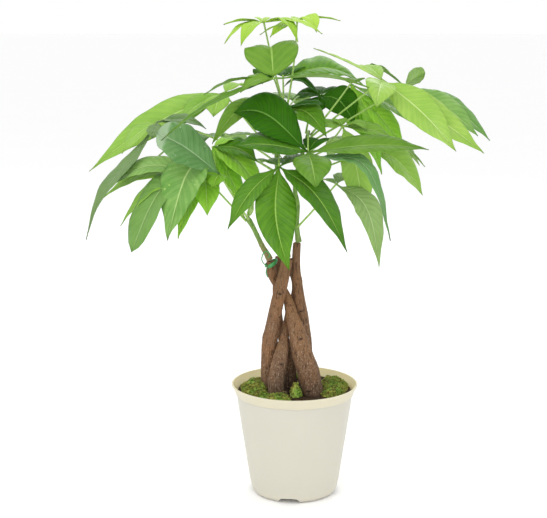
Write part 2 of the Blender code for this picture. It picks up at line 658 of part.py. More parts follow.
def add_blade(shape, hub, blade):
    """A thin closed blade with its edges raised over the midrib."""
    rows = []
    for share in BLADE_ROWS[:-1]:
        place, side, upper = blade_frame(hub, blade, share)
        wide = half_width(blade, share)
        thick = BLADE_ROOT if share < STALK_SHARE else 0.5 * BLADE_THICKNESS
        raised = upper * (FOLD * wide if share > STALK_SHARE else 0.0)
        corners = (place - side * wide + raised, place + upper * thick,
                   place + side * wide + raised, place - upper * thick)
        rows.append([shape.verts.new(point) for point in corners])
    tip = shape.verts.new(midrib(hub, blade, 1.0))
    for low, high in zip(rows[:-1], rows[1:]):
        for index in range(4):
            following = (index + 1) % 4
            # Both faces split along the same diagonal, so a twisted blade keeps its thickness.
            if index % 2 == 0:
                shape.faces.new((low[index], low[following], high[following]))
                shape.faces.new((low[index], high[following], high[index]))
            else:
                shape.faces.new((low[index], low[following], high[index]))
                shape.faces.new((low[following], high[following], high[index]))
    for index in range(4):
        shape.faces.new((rows[-1][index], rows[-1][(index + 1) % 4], tip))
    shape.faces.new(rows[0][::-1])


def stalk_foot(shoot, height, heading, aim):
    """Middle of a stalk's foot, which rests against the side of its shoot at the given height."""
    angle = math.radians(heading)
    out = Vector((math.cos(angle), math.sin(angle), 0.0))
    path = smooth_path(shoot_points(shoot), SHOOT_STEP)
    for (low, low_radius), (high, high_radius) in zip(path[:-1], path[1:]):
        if low.z <= height * MM <= high.z:
            share = (height * MM - low.z) / (high.z - low.z)
            place = low.lerp(high, share)
            radius = low_radius + (high_radius - low_radius) * share
            lean = (aim - place).normalized().dot(out)
            return place + out * (radius + GAP + STALK_FOOT_RADIUS * math.sqrt(1.0 - lean * lean))
    raise ValueError("height is off the shoot")


def stalk_path(foot, bend, hub):
    """Leaf stalk from its foot to just past the hub."""
    path = []
    for index in range(STALK_RINGS + 1):
        share = index / STALK_RINGS
        place = foot.lerp(hub, share) + bend * (4.0 * share * (1.0 - share))
        radius = STALK_FOOT_RADIUS + (STALK_TIP_RADIUS - STALK_FOOT_RADIUS) * share
        path.append((place, radius))
    end = (path[-1][0] - path[-2][0]).normalized()
    path.append((hub + end * 0.8 * MM, 0.7 * STALK_TIP_RADIUS))
    return path


def build_leaf(name):
    """A palmate leaf: its stalk and its leaflets grown together at the hub."""
    tone, (shoot, height, heading), bend, hub, blades = LEAVES[name]
    centre = mm(*hub)
    foot = stalk_foot(shoot, height, heading, centre + 2.0 * mm(*bend))
    stalk = tube(stalk_path(foot, mm(*bend), centre), STALK_SIDES)
    leaf = add_object(name, stalk, tone, 35.0)
    shape = bmesh.new()
    for blade in blades:
        add_blade(shape, centre, blade)
    boolean(leaf, add_object(name + "_blades", shape, tone), "UNION", self_crossing=True)
    return leaf


# ---------------------------------------------------------------- whole plant

def main():
    clear_scene()
    build_pot()
    pockets = stem_pockets()
    build_soil(pockets)
    for name in STEMS:
        build_stem(name)
    for name in MOSS:
        build_moss(name, pockets)
    for name in SHOOTS:
        build_shoot(name)
    build_bud()
    build_tie()
    build_fibre()
    for name in LEAVES:
        build_leaf(name)


main()
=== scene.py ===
"""Potted money tree: fine leaves, bark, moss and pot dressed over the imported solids.

Units are metres and +Z is up. Tables of places are in millimetres, and mm() turns them into metres.
"""

import logging
import math
import random
from dataclasses import dataclass
from enum import Enum
from typing import Callable, Optional, Sequence, Union

import bmesh
import bpy
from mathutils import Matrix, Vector


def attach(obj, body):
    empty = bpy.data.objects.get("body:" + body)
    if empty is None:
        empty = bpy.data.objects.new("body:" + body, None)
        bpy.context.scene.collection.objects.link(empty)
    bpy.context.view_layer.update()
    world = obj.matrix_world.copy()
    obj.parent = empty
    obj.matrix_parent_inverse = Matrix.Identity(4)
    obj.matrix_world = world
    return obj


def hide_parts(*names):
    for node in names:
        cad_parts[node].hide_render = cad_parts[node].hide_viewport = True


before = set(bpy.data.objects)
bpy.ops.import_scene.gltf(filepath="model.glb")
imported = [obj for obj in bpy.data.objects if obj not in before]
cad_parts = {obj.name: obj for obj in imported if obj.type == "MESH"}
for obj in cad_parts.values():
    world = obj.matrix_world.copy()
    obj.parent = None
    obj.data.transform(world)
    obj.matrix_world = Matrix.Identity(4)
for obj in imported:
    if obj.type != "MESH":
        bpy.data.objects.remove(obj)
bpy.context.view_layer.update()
LOG = logging.getLogger("money_tree")
MM = 0.001
BODY = "root"
FULL_TURN = 6.28                            # radians, to two places

Colour = tuple[float, float, float]
PathPoint = tuple[Vector, float]
Around = Callable[[float, float], float]    # a number from the distance along a tube and the angle
Row = tuple[float, float, float, float]     # place and radius in millimetres


# ---------------------------------------------------------------- small helpers

def mm(x: float, y: float, z: float) -> Vector:
    """A point given in millimetres."""
    return Vector((x, y, z)) * MM


def paint(code: str) -> Colour:
    """Linear colour of a six-digit screen colour.

    Args:
        code: red, green and blue as hexadecimal digits.

    Returns:
        The colour with its screen curve taken off.
    """
    parts = [int(code[index:index + 2], 16) / 255.0 for index in (0, 2, 4)]
    return tuple(part / 12.92 if part <= 0.04045 else ((part + 0.055) / 1.055) ** 2.4 for part in parts)


def ease(low: float, high: float, value: float) -> float:
    """Smooth step from 0 at low to 1 at high."""
    share = min(max((value - low) / (high - low), 0.0), 1.0)
    return share * share * (3.0 - 2.0 * share)


def bell(value: float, middle: float, width: float) -> float:
    """Height of a soft bump around middle."""
    return math.exp(-((value - middle) / width) ** 2)


def catmull(before: Vector, start: Vector, end: Vector, after: Vector, share: float) -> Vector:
    """Catmull-Rom curve between start and end.

    Args:
        before: point ahead of start.
        start: where share is 0.
        end: where share is 1.
        after: point past end.
        share: place on the curve.

    Returns:
        The point on the curve.
    """
    square = share * share
    cube = square * share
    return 0.5 * (2.0 * start + (end - before) * share
                  + (2.0 * before - 5.0 * start + 4.0 * end - after) * square
                  + (3.0 * start - before - 3.0 * end + after) * cube)


def places(rows: Sequence[Row]) -> list[PathPoint]:
    """Places and radii of a table in millimetres."""
    return [(mm(x, y, z), radius * MM) for x, y, z, radius in rows]


def polar(radius: float, angle: float, height: float = 0.0) -> Vector:
    """A point at a distance from the upright axis and an angle in radians."""
    return Vector((radius * math.cos(angle), radius * math.sin(angle), height))


def smooth_path(points: Sequence[PathPoint], step: float) -> list[PathPoint]:
    """Points about one step apart on a smooth curve through places with radii.

    Args:
        points: places and radii to pass through.
        step: distance between neighbours, in metres.

    Returns:
        Places and radii along the curve.
    """
    path = []
    last = len(points) - 1
    for index in range(last):
        before = points[max(index - 1, 0)]
        start = points[index]
        end = points[index + 1]
        after = points[min(index + 2, last)]
        count = max(1, round((end[0] - start[0]).length / step))
        for turn in range(count):
            share = turn / count
            path.append((catmull(before[0], start[0], end[0], after[0], share),
                         start[1] + (end[1] - start[1]) * share))
    path.append(points[-1])
    return path


# ---------------------------------------------------------------- shader arithmetic

Feed = Union["Socket", float, Sequence[float]]


class Socket:
    """One output of a shader node that takes part in Python arithmetic."""

    def __init__(self, graph: "Graph", link: bpy.types.NodeSocket) -> None:
        """Keep the graph and the output it wraps."""
        self.graph = graph
        self.link = link

    def _math(self, operation: str, *values: Feed) -> "Socket":
        """A Math node on the given values."""
        return self.graph.node("ShaderNodeMath", {"operation": operation}, dict(enumerate(values)))

    def __add__(self, other: Feed) -> "Socket":
        """Sum."""
        return self._math("ADD", self, other)

    def __radd__(self, other: Feed) -> "Socket":
        """Sum with the number first."""
        return self._math("ADD", other, self)

    def __sub__(self, other: Feed) -> "Socket":
        """Difference."""
        return self._math("SUBTRACT", self, other)

    def __rsub__(self, other: Feed) -> "Socket":
        """Difference with the number first."""
        return self._math("SUBTRACT", other, self)

    def __mul__(self, other: Feed) -> "Socket":
        """Product."""
        return self._math("MULTIPLY", self, other)

    def __rmul__(self, other: Feed) -> "Socket":
        """Product with the number first."""
        return self._math("MULTIPLY", other, self)

    def __abs__(self) -> "Socket":
        """Size without the sign."""
        return self._math("ABSOLUTE", self)

    def fraction(self) -> "Socket":
        """Part after the decimal point."""
        return self._math("FRACT", self)

    def most(self, other: Feed) -> "Socket":
        """The larger of two values."""
        return self._math("MAXIMUM", self, other)

    def band(self, low: float, high: float) -> "Socket":
        """Smooth step from 0 at low to 1 at high.

        Args:
            low: value that gives 0.
            high: value that gives 1, which may be less than low.

        Returns:
            The stepped value.
        """
        inputs = {"Value": self, "From Min": low, "From Max": high}
        if high < low:
            inputs = {"Value": self, "From Min": high, "From Max": low, "To Min": 1.0, "To Max": 0.0}
        return self.graph.node("ShaderNodeMapRange", {"interpolation_type": "SMOOTHSTEP"}, inputs)


class Graph:
    """A material and the nodes that feed its Principled shader."""

    def __init__(self, name: str) -> None:
        """Start a material with one Principled shader."""
        self.material = bpy.data.materials.new(name)
        self.material.use_nodes = True
        self.tree = self.material.node_tree
        self.shader = self.tree.nodes["Principled BSDF"]

    def _feed(self, socket: bpy.types.NodeSocket, value: Feed) -> None:
        """Link a Socket, or set a plain value."""
        if isinstance(value, Socket):
            self.tree.links.new(value.link, socket)
        elif hasattr(value, "__len__") and len(value) == 3 and socket.type == "RGBA":
            socket.default_value = (*value, 1.0)
        else:
            socket.default_value = value

    def node(self, kind: str, settings: Optional[dict] = None, inputs: Optional[dict] = None,
             output: Union[int, str] = 0) -> Socket:
        """Add any node.

        Args:
            kind: Blender's type name of the node.
            settings: properties, such as a Math node's operation, set first.
            inputs: values or links by socket name or number.
            output: which output to return.

        Returns:
            The output, ready for arithmetic.
        """
        made = self.tree.nodes.new(kind)
        for key, value in (settings or {}).items():
            setattr(made, key, value)
        for key, value in (inputs or {}).items():
            self._feed(made.inputs[key], value)
        return Socket(self, made.outputs[output])

    def place(self, stretch: Sequence[float] = (1.0, 1.0, 1.0)) -> Socket:
        """Object coordinates, scaled along each axis."""
        spot = self.node("ShaderNodeTexCoord", output="Object")
        return self.node("ShaderNodeVectorMath", {"operation": "MULTIPLY"}, {0: spot, 1: tuple(stretch)})

    def axis(self, where: Socket, name: str) -> Socket:
        """The X, Y or Z of a place."""
        return self.node("ShaderNodeSeparateXYZ", None, {0: where}, name)

    def noise(self, where: Socket, scale: float, detail: float = 2.0, rough: float = 0.5,
              twist: float = 0.0) -> Socket:
        """Noise value from 0 to 1.

        Args:
            where: coordinates.
            scale: cells per metre.
            detail: octaves.
            rough: share of the finer octaves.
            twist: distortion.

        Returns:
            The noise.
        """
        inputs = {"Vector": where, "Scale": scale, "Detail": detail, "Roughness": rough, "Distortion": twist}
        return self.node("ShaderNodeTexNoise", None, inputs)

    def cells(self, where: Socket, scale: float) -> Socket:
        """Distance to the nearest of scattered points, in cells."""
        return self.node("ShaderNodeTexVoronoi", None, {"Vector": where, "Scale": scale}, "Distance")

    def attribute(self, name: str) -> Socket:
        """A number stored on the mesh."""
        return self.node("ShaderNodeAttribute", {"attribute_name": name}, None, "Fac")

    def mix(self, share: Feed, first: Feed, second: Feed) -> Socket:
        """Colour between first and second."""
        return self.node("ShaderNodeMix", {"data_type": "RGBA"}, {0: share, 6: first, 7: second}, 2)

    def bump(self, height: Socket, depth: float, strength: float = 1.0) -> Socket:
        """Normal bent by a height of 0 to 1 that stands for depth metres."""
        return self.node("ShaderNodeBump", None, {"Height": height, "Distance": depth, "Strength": strength})

    def finish(self, **sockets: Feed) -> bpy.types.Material:
        """Set or link the shader's sockets.

        Args:
            sockets: socket names with underscores for spaces, and their values.

        Returns:
            The finished material.
        """
        for name, value in sockets.items():
            self._feed(self.shader.inputs[name.replace("_", " ")], value)
        return self.material


# ---------------------------------------------------------------- finishes

@dataclass(frozen=True)
class LeafFinish:
    """Skin of a leaflet: two greens, its veins, its underside and its gloss."""

    name: str
    slot: str
    blade: Colour
    deep: Colour
    vein: Colour
    under: Colour
    rough: float = 0.34
    slant: float = 2.2              # how far a side vein runs towards the tip, in vein spacings
    net: float = 0.16               # strength of the side veins
    shine: float = 0.15
    wax: float = 0.35               # strength of the glossier patches
    turned: float = 0.0             # strength of a paler end, where the blade turns its underside up

    wander_scale = 90.0             # scales are in cells per metre
    mottle_scale = 38.0
    grain_scale = 900.0
    wax_scale = 24.0
    relief = 0.6 * MM               # rise of the skin between two side veins

    def material(self) -> bpy.types.Material:
        """Build the leaf skin."""
        graph = Graph("leaf_skin_" + self.name)
        spot = graph.node("ShaderNodeUVMap", {"uv_map": "blade"})
        across = graph.axis(spot, "X")
        along = graph.axis(spot, "Y")
        out = abs(across * 2.0 - 1.0)
        where = graph.place()
        wander = graph.noise(where, self.wander_scale, 1.0) * 0.5
        phase = (along * graph.attribute("pairs") - out * self.slant + wander).fraction()
        gap = 0.5 - abs(phase - 0.5)
        side_vein = gap.band(0.10, 0.0) * out.band(1.0, 0.5)
        middle = out.band(0.055, 0.015)
        pillow = gap.band(0.0, 0.42)
        mottle = graph.noise(where, self.mottle_scale, 3.0, 0.55)
        grain = graph.noise(where, self.grain_scale, 2.0)
        tint = graph.attribute("tint")
        under = graph.attribute("under")
        shade = mottle * 0.9 + tint * 0.75 - 0.4 + pillow * 0.22
        green = graph.mix(shade.band(0.1, 1.0), self.deep, self.blade)
        veined = graph.mix(middle * 0.75 + side_vein * self.net, green, self.vein)
        if self.turned > 0.0:
            end = (along + mottle * 0.1).band(0.87, 0.92)
            veined = graph.mix(end * self.turned, veined, self.under)
        back = graph.mix(mottle.band(0.3, 0.7), self.under, self.blade)
        back = graph.mix(middle * 0.6 + side_vein * 0.3, back, self.vein)
        colour = graph.mix(under, veined, back)
        rough = self.rough + grain * 0.10 + under * 0.22 + mottle * 0.06
        height = pillow * 0.55 - middle * 0.5 + grain * 0.06
        wax = graph.noise(where, self.wax_scale, 2.0).band(0.5, 0.68) * (1.0 - under)
        return graph.finish(Base_Color=colour, Roughness=rough, Normal=graph.bump(height, self.relief),
                            Specular_IOR_Level=self.shine, Coat_Weight=wax * self.wax, Coat_Roughness=0.24)


def leaf_finish(name: str, slot: str, codes: str, **surface: float) -> LeafFinish:
    """A leaf skin made from screen colours.

    Args:
        name: name of the tone.
        slot: name of a material slot, stored on the finish.
        codes: blade, deep, vein and under as four screen colours.
        surface: other fields of the finish.

    Returns:
        The finish.
    """
    return LeafFinish(name, slot, *(paint(code) for code in codes.split()), **surface)


class Tone(Enum):
    """Leaf skins from the oldest to the youngest leaves; some of them also carry painted light in their
    greens.
    """

    DARK = leaf_finish("dark", "leaf_dark", "386C10 205007 74A348 7C9E5A", rough=0.42, shine=0.05, wax=0.12)
    MID = leaf_finish("mid", "leaf_mid", "6A9230 467618 98BC5E 8CAC68")
    BRIGHT = leaf_finish("bright", "leaf_bright", "6A9C24 427814 A4C860 90B45C")
    LEAFY = leaf_finish("leafy", "leaf_bright", "5C8C20 386A0F 98BE58 90B45C")
    # painted light: a brighter, more saturated green that stands for light shining through leaflets which the
    # lamps leave in shade
    PAINTED_LIGHT = leaf_finish("fresh", "leaf_bright", "98CC44 76B22C BADC7C A0C468")
    # partly painted highlight: a paler, greyer green paints part of the glossy leaflets' highlights into the
    # skin, besides its lower roughness
    GLOSSY = leaf_finish("glossy", "leaf_bright", "88AE5E 588A38 B8D488 90B45C", rough=0.3)
    PALE = leaf_finish("pale", "leaf_pale", "90B84E 74A23A B8D680 A2BE78", rough=0.42)
    LIME = leaf_finish("lime", "leaf_pale", "A4C45C 84AE44 C8DE92 AAC480", rough=0.42)
    YOUNG = leaf_finish("young", "leaf_young", "A8CC4C 92BC38 C8DE84 B2D06A", rough=0.42)
    GREY = leaf_finish("grey", "leaf_grey", "9CBC74 7E9E58 BED49A A6BC8A", rough=0.42)
    GREYED = leaf_finish("greyed", "leaf_mid", "6E8B54 50723C 94AC7A 839C70", rough=0.4)
    DROOP = leaf_finish("droop", "leaf_mid", "6C9448 4E7A2C 9DBB78 8FAA74")
    SHEEN = leaf_finish("sheen", "leaf_dark", "6F9A5C 4C7E3A A9C295 93AC86")
    BLUISH = leaf_finish("bluish", "leaf_dark", "6E945C 487A3A 9AB688 A6BA9C", rough=0.34, turned=0.6)


@dataclass(frozen=True)
class StalkFinish:
    """Smooth green skin of stalks and shoots, with paler streaks."""

    name: str
    light: Colour
    deep: Colour
    woody: Colour
    woody_below: float = -1.0       # height under which the skin turns to wood
    woody_blend: float = 50.0 * MM  # how far above that height the change begins

    streak_scale = 700.0
    patch_scale = 60.0
    relief = 0.4 * MM

    def material(self) -> bpy.types.Material:
        """Build the skin."""
        graph = Graph("skin_" + self.name)
        streak = graph.noise(graph.place((1.0, 1.0, 0.15)), self.streak_scale, 3.0, 0.6)
        patch = graph.noise(graph.place(), self.patch_scale, 3.0)
        green = graph.mix(streak.band(0.3, 0.75), self.deep, self.light)
        height = graph.axis(graph.place(), "Z")
        wood = (height + patch * 0.04).band(self.woody_below + self.woody_blend, self.woody_below)
        colour = graph.mix(wood, green, self.woody)
        bump = graph.bump(streak + patch * 0.5, self.relief)
        return graph.finish(Base_Color=colour, Roughness=0.45 + wood * 0.3 + streak * 0.1, Normal=bump)


@dataclass(frozen=True)
class BarkFinish:
    """Brown bark with fine upright flecks, darker cracks and a greyer foot."""

    brown: Colour = paint("7A5A40")
    fleck: Colour = paint("B8A48C")
    crack: Colour = paint("2A1F18")
    foot: Colour = paint("4A3B31")
    warm: Colour = paint("88613F")
    foot_height: float = 165.0 * MM         # where the greyer foot fades out

    streak_scale = 520.0
    pit_scale = 1500.0
    broad_scale = 46.0
    ring_scale = 330.0
    fleck_scale = 1150.0
    relief = 1.2 * MM

    def material(self) -> bpy.types.Material:
        """Build the bark."""
        graph = Graph("bark_skin")
        upright = graph.place((1.0, 1.0, 0.16))
        streak = graph.noise(upright, self.streak_scale, 4.0, 0.62, 0.4)
        fine = graph.noise(graph.place((1.0, 1.0, 0.3)), self.pit_scale, 3.0, 0.6)
        broad = graph.noise(graph.place((1.0, 1.0, 0.5)), self.broad_scale, 3.0, 0.55)
        rings = graph.noise(graph.place((0.25, 0.25, 1.0)), self.ring_scale, 2.0, 0.5)
        height = graph.axis(graph.place(), "Z")
        low = (height + broad * 0.04).band(self.foot_height + 50.0 * MM, self.foot_height - 35.0 * MM)
        brown = graph.mix(broad.band(0.35, 0.7), self.brown, self.warm)
        brown = graph.mix(low * 0.8, brown, self.foot)
        scaly = graph.noise(graph.place((1.0, 1.0, 0.30)), self.fleck_scale, 3.0, 0.7)
        lower = height.band(self.foot_height + 90.0 * MM, self.foot_height)
        flecks = scaly.band(0.54, 0.66) * (lower * 0.75 + 0.25)
        flecks = flecks.most(streak.band(0.60, 0.74) * 0.35)
        brown = graph.mix(flecks * 0.75, brown, self.fleck)
        pits = fine.band(0.46, 0.36) * 0.75
        cracks = streak.band(0.47, 0.36).most(rings.band(0.33, 0.27) * 0.5).most(pits)
        scar = graph.attribute("scar").band(0.2, 0.7)
        colour = graph.mix((cracks * 0.72).most(scar * 0.9), brown, self.crack)
        relief = streak * 0.7 + fine * 0.4 + scaly * 0.3 + rings * 0.2
        return graph.finish(Base_Color=colour, Roughness=0.72 + fine * 0.2, Specular_IOR_Level=0.3,
                            Normal=graph.bump(relief, self.relief))


@dataclass(frozen=True)
class PotFinish:
    """Cream polypropylene with a faint mould grain, a paler and warmer painted light on the inner faces, and
    a little scuffed low down.
    """

    wall: Colour = paint("C6C2B4")
    band: Colour = paint("CDC6B0")
    # painted light: the inner faces get a paler, warmer colour than the wall, which lifts the shade within
    # the pot and stands for light through the thin plastic
    painted_light_inside: Colour = paint("EFE0BC")
    scuff: Colour = paint("C9C3AE")
    band_height: float = 121.0 * MM

    cloud_scale = 22.0
    grain_scale = 1400.0
    rub_scale = 210.0
    relief = 0.06 * MM

    def material(self) -> bpy.types.Material:
        """Build the plastic."""
        graph = Graph("pot_plastic")
        where = graph.place()
        cloud = graph.noise(where, self.cloud_scale, 3.0)
        grain = graph.noise(where, self.grain_scale, 2.0, 0.6)
        rub = graph.noise(graph.place((1.0, 1.0, 0.2)), self.rub_scale, 4.0, 0.7)
        height = graph.axis(where, "Z")
        inner = graph.attribute("inner")
        collar = height.band(self.band_height - 1.0 * MM, self.band_height + 0.5 * MM)
        colour = graph.mix(collar, self.wall, self.band)
        worn = height.band(20.0 * MM, 0.0) * rub.band(0.45, 0.7)
        colour = graph.mix(worn * 0.5 + cloud.band(0.55, 0.8) * 0.12, colour, self.scuff)
        # painted light on the inner faces
        colour = graph.mix(inner, colour, self.painted_light_inside)
        rough = 0.36 + grain * 0.14 + worn * 0.2 + cloud * 0.08
        return graph.finish(Base_Color=colour, Roughness=rough, Normal=graph.bump(grain, self.relief),
                            Subsurface_Weight=0.35, Subsurface_Radius=(1.0, 0.85, 0.6),
                            Subsurface_Scale=6.0 * MM)


@dataclass(frozen=True)
class SoilFinish:
    """Dark gritty potting soil."""

    dark: Colour = paint("2B2018")
    brown: Colour = paint("5A4330")
    grit: Colour = paint("8B7A60")

    lump_scale = 320.0
    speck_scale = 620.0
    relief = 2.0 * MM

    def material(self) -> bpy.types.Material:
        """Build the soil."""
        graph = Graph("soil_grit")
        where = graph.place()
        lumps = graph.noise(where, self.lump_scale, 4.0, 0.65)
        specks = graph.cells(where, self.speck_scale)
        colour = graph.mix(lumps.band(0.35, 0.7), self.dark, self.brown)
        colour = graph.mix(specks.band(0.16, 0.05), colour, self.grit)
        return graph.finish(Base_Color=colour, Roughness=0.88 + lumps * 0.1, Specular_IOR_Level=0.2,
                            Normal=graph.bump(lumps - specks * 0.4, self.relief))


@dataclass(frozen=True)
class MossFinish:
    """Green moss that runs from olive to fresh green, with brown dead bits."""

    olive: Colour = paint("AEB054")
    fresh: Colour = paint("86AC48")
    brown: Colour = paint("80643C")
    deep: Colour = paint("485A20")

    patch_scale = 75.0
    felt_scale = 700.0
    relief = 0.6 * MM

    def material(self) -> bpy.types.Material:
        """Build the moss."""
        graph = Graph("moss_felt")
        where = graph.place()
        patch = graph.noise(where, self.patch_scale, 3.0, 0.6)
        fine = graph.noise(where, self.felt_scale, 2.0)
        tint = graph.attribute("tint")
        colour = graph.mix(patch.band(0.35, 0.65), self.olive, self.fresh)
        colour = graph.mix((tint + patch * 0.3).band(0.86, 1.02), colour, self.brown)
        colour = graph.mix((tint * 0.7 + fine * 0.5).band(0.42, 0.18), colour, self.deep)
        return graph.finish(Base_Color=colour, Roughness=0.8 + fine * 0.15, Specular_IOR_Level=0.25,
                            Normal=graph.bump(fine, self.relief))


@dataclass(frozen=True)
class TieFinish:
    """Green coating of the twist tie, rubbed paler in places."""

    green: Colour = paint("3C9650")
    rubbed: Colour = paint("86BE90")

    rib_scale = 900.0
    relief = 0.3 * MM

    def material(self) -> bpy.types.Material:
        """Build the coating."""
        graph = Graph("tie_coating")
        ribs = graph.noise(graph.place(), self.rib_scale, 2.0)
        colour = graph.mix(ribs.band(0.55, 0.75) * 0.6, self.green, self.rubbed)
        bump = graph.bump(ribs, self.relief)
        return graph.finish(Base_Color=colour, Roughness=0.35 + ribs * 0.2, Normal=bump)


@dataclass(frozen=True)
class BudFinish:
    """Pale folded bud with pink dots."""

    pale: Colour = paint("B9CF86")
    green: Colour = paint("7FA84A")
    pink: Colour = paint("B98A7C")

    streak_scale = 620.0
    dot_scale = 520.0
    relief = 0.5 * MM

    def material(self) -> bpy.types.Material:
        """Build the bud skin."""
        graph = Graph("bud_skin")
        streak = graph.noise(graph.place((1.0, 1.0, 0.2)), self.streak_scale, 3.0)
        dots = graph.cells(graph.place(), self.dot_scale)
        colour = graph.mix(streak.band(0.35, 0.65), self.green, self.pale)
        colour = graph.mix(dots.band(0.26, 0.12) * 0.8, colour, self.pink)
        bump = graph.bump(streak, self.relief)
        return graph.finish(Base_Color=colour, Roughness=0.5 + streak * 0.1, Normal=bump)


@dataclass(frozen=True)
class StrawFinish:
    """Dry grass."""

    light: Colour = paint("CDBB84")
    dark: Colour = paint("8F7C4C")

    streak_scale = 1200.0
    relief = 0.2 * MM

    def material(self) -> bpy.types.Material:
        """Build the straw."""
        graph = Graph("dry_grass")
        streak = graph.noise(graph.place((0.3, 1.0, 1.0)), self.streak_scale, 2.0)
        colour = graph.mix(streak.band(0.3, 0.7), self.dark, self.light)
        bump = graph.bump(streak, self.relief)
        return graph.finish(Base_Color=colour, Roughness=0.6 + streak * 0.1, Normal=bump)


# ---------------------------------------------------------------- mesh building

class Sculpt:
    """A mesh in the making: faces with a material number, one UV map and point values."""

    def __init__(self, name: str) -> None:
        """Start an empty mesh."""
        self.name = name
        self.shape = bmesh.new()
        self.uv = self.shape.loops.layers.uv.new("blade")
        self.values: dict[str, bmesh.types.BMLayerItem] = {}

    def value_layer(self, name: str) -> bmesh.types.BMLayerItem:
        """The layer that stores a number at each point."""
        if name not in self.values:
            self.values[name] = self.shape.verts.layers.float.new(name)
        return self.values[name]

    def point(self, place: Vector, **values: float) -> bmesh.types.BMVert:
        """Add a point with its stored numbers."""
        made = self.shape.verts.new(place)
        for name, value in values.items():
            made[self.values[name]] = value
        return made

    def face(self, corners: Sequence[bmesh.types.BMVert],
             spots: Optional[Sequence[tuple[float, float]]] = None, part: int = 0) -> None:
        """Add a face.

        Args:
            corners: its points, anticlockwise seen from outside.
            spots: UV place of each corner.
            part: number of its material.
        """
        made = self.shape.faces.new(corners)
        made.material_index = part
        made.smooth = True
        if spots:
            for loop, spot in zip(made.loops, spots):
                loop[self.uv].uv = spot

    def tube(self, path: Sequence[PathPoint], sides: int, reach: Optional[Around] = None, part: int = 0,
             flat: float = 1.0, upright: Optional[Vector] = None, **values: Union[float, Around]) -> None:
        """Add a closed tube.

        Args:
            path: places and radii of the centre line.
            sides: points round the tube.
            reach: factor on the radius from the distance along and the angle.
            part: number of its material.
            flat: factor on the radius across the first side direction.
            upright: direction that the first side keeps to, if any.
            values: numbers stored at its points, or what gives them from the distance along and the angle.
        """
        rings = []
        side = Vector((1.0, 0.0, 0.0))
        run = 0.0
        length = sum((b[0] - a[0]).length for a, b in zip(path[:-1], path[1:]))
        for index, (place, radius) in enumerate(path):
            after = path[min(index + 1, len(path) - 1)][0]
            before = path[max(index - 1, 0)][0]
            along = (after - before).normalized()
            side = upright or side
            side = (side - along * side.dot(along)).normalized()
            across = along.cross(side)
            run += (place - before).length
            ring = []
            for turn in range(sides):
                angle = math.tau * turn / sides
                size = radius * (reach(run, angle) if reach else 1.0)
                offset = side * math.cos(angle) + across * (math.sin(angle) * flat)
                stored = {}
                for name, value in values.items():
                    stored[name] = value(run, angle) if callable(value) else value
                ring.append(self.point(place + size * offset, **stored))
            rings.append((ring, run / length))
        for (low, start), (high, end) in zip(rings[:-1], rings[1:]):
            for turn in range(sides):
                following = (turn + 1) % sides
                left = turn / sides
                right = (turn + 1) / sides
                self.face((low[turn], low[following], high[following], high[turn]),
                          ((left, start), (right, start), (right, end), (left, end)), part)
        self.face(rings[0][0][::-1], [(0.5, 0.0)] * sides, part)
        self.face(rings[-1][0], [(0.5, 1.0)] * sides, part)

    def piece(self, materials: Sequence[bpy.types.Material], node: str,
              sharp: Optional[float] = None) -> bpy.types.Object:
        """Turn the mesh into a piece that stands for a CAD node.

        Args:
            materials: materials by number.
            node: CAD node it replaces.
            sharp: angle in degrees above which an edge stays sharp.

        Returns:
            The piece, riding on the body.
        """
        item = self.loose(materials, sharp)
        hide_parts(node)
        return item

    def loose(self, materials: Sequence[bpy.types.Material],
              sharp: Optional[float] = None) -> bpy.types.Object:
        """Turn the mesh into a piece that replaces nothing."""
        mesh = bpy.data.meshes.new(self.name)
        self.shape.to_mesh(mesh)
        self.shape.free()
        for material in materials:
            mesh.materials.append(material)
        if sharp is not None:
            mesh.set_sharp_from_angle(angle=math.radians(sharp))
        item = bpy.data.objects.new(self.name, mesh)
        bpy.context.collection.objects.link(item)
        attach(item, BODY)
        LOG.info("%s: %d faces", self.name, len(mesh.polygons))
        return item


# ---------------------------------------------------------------- pot

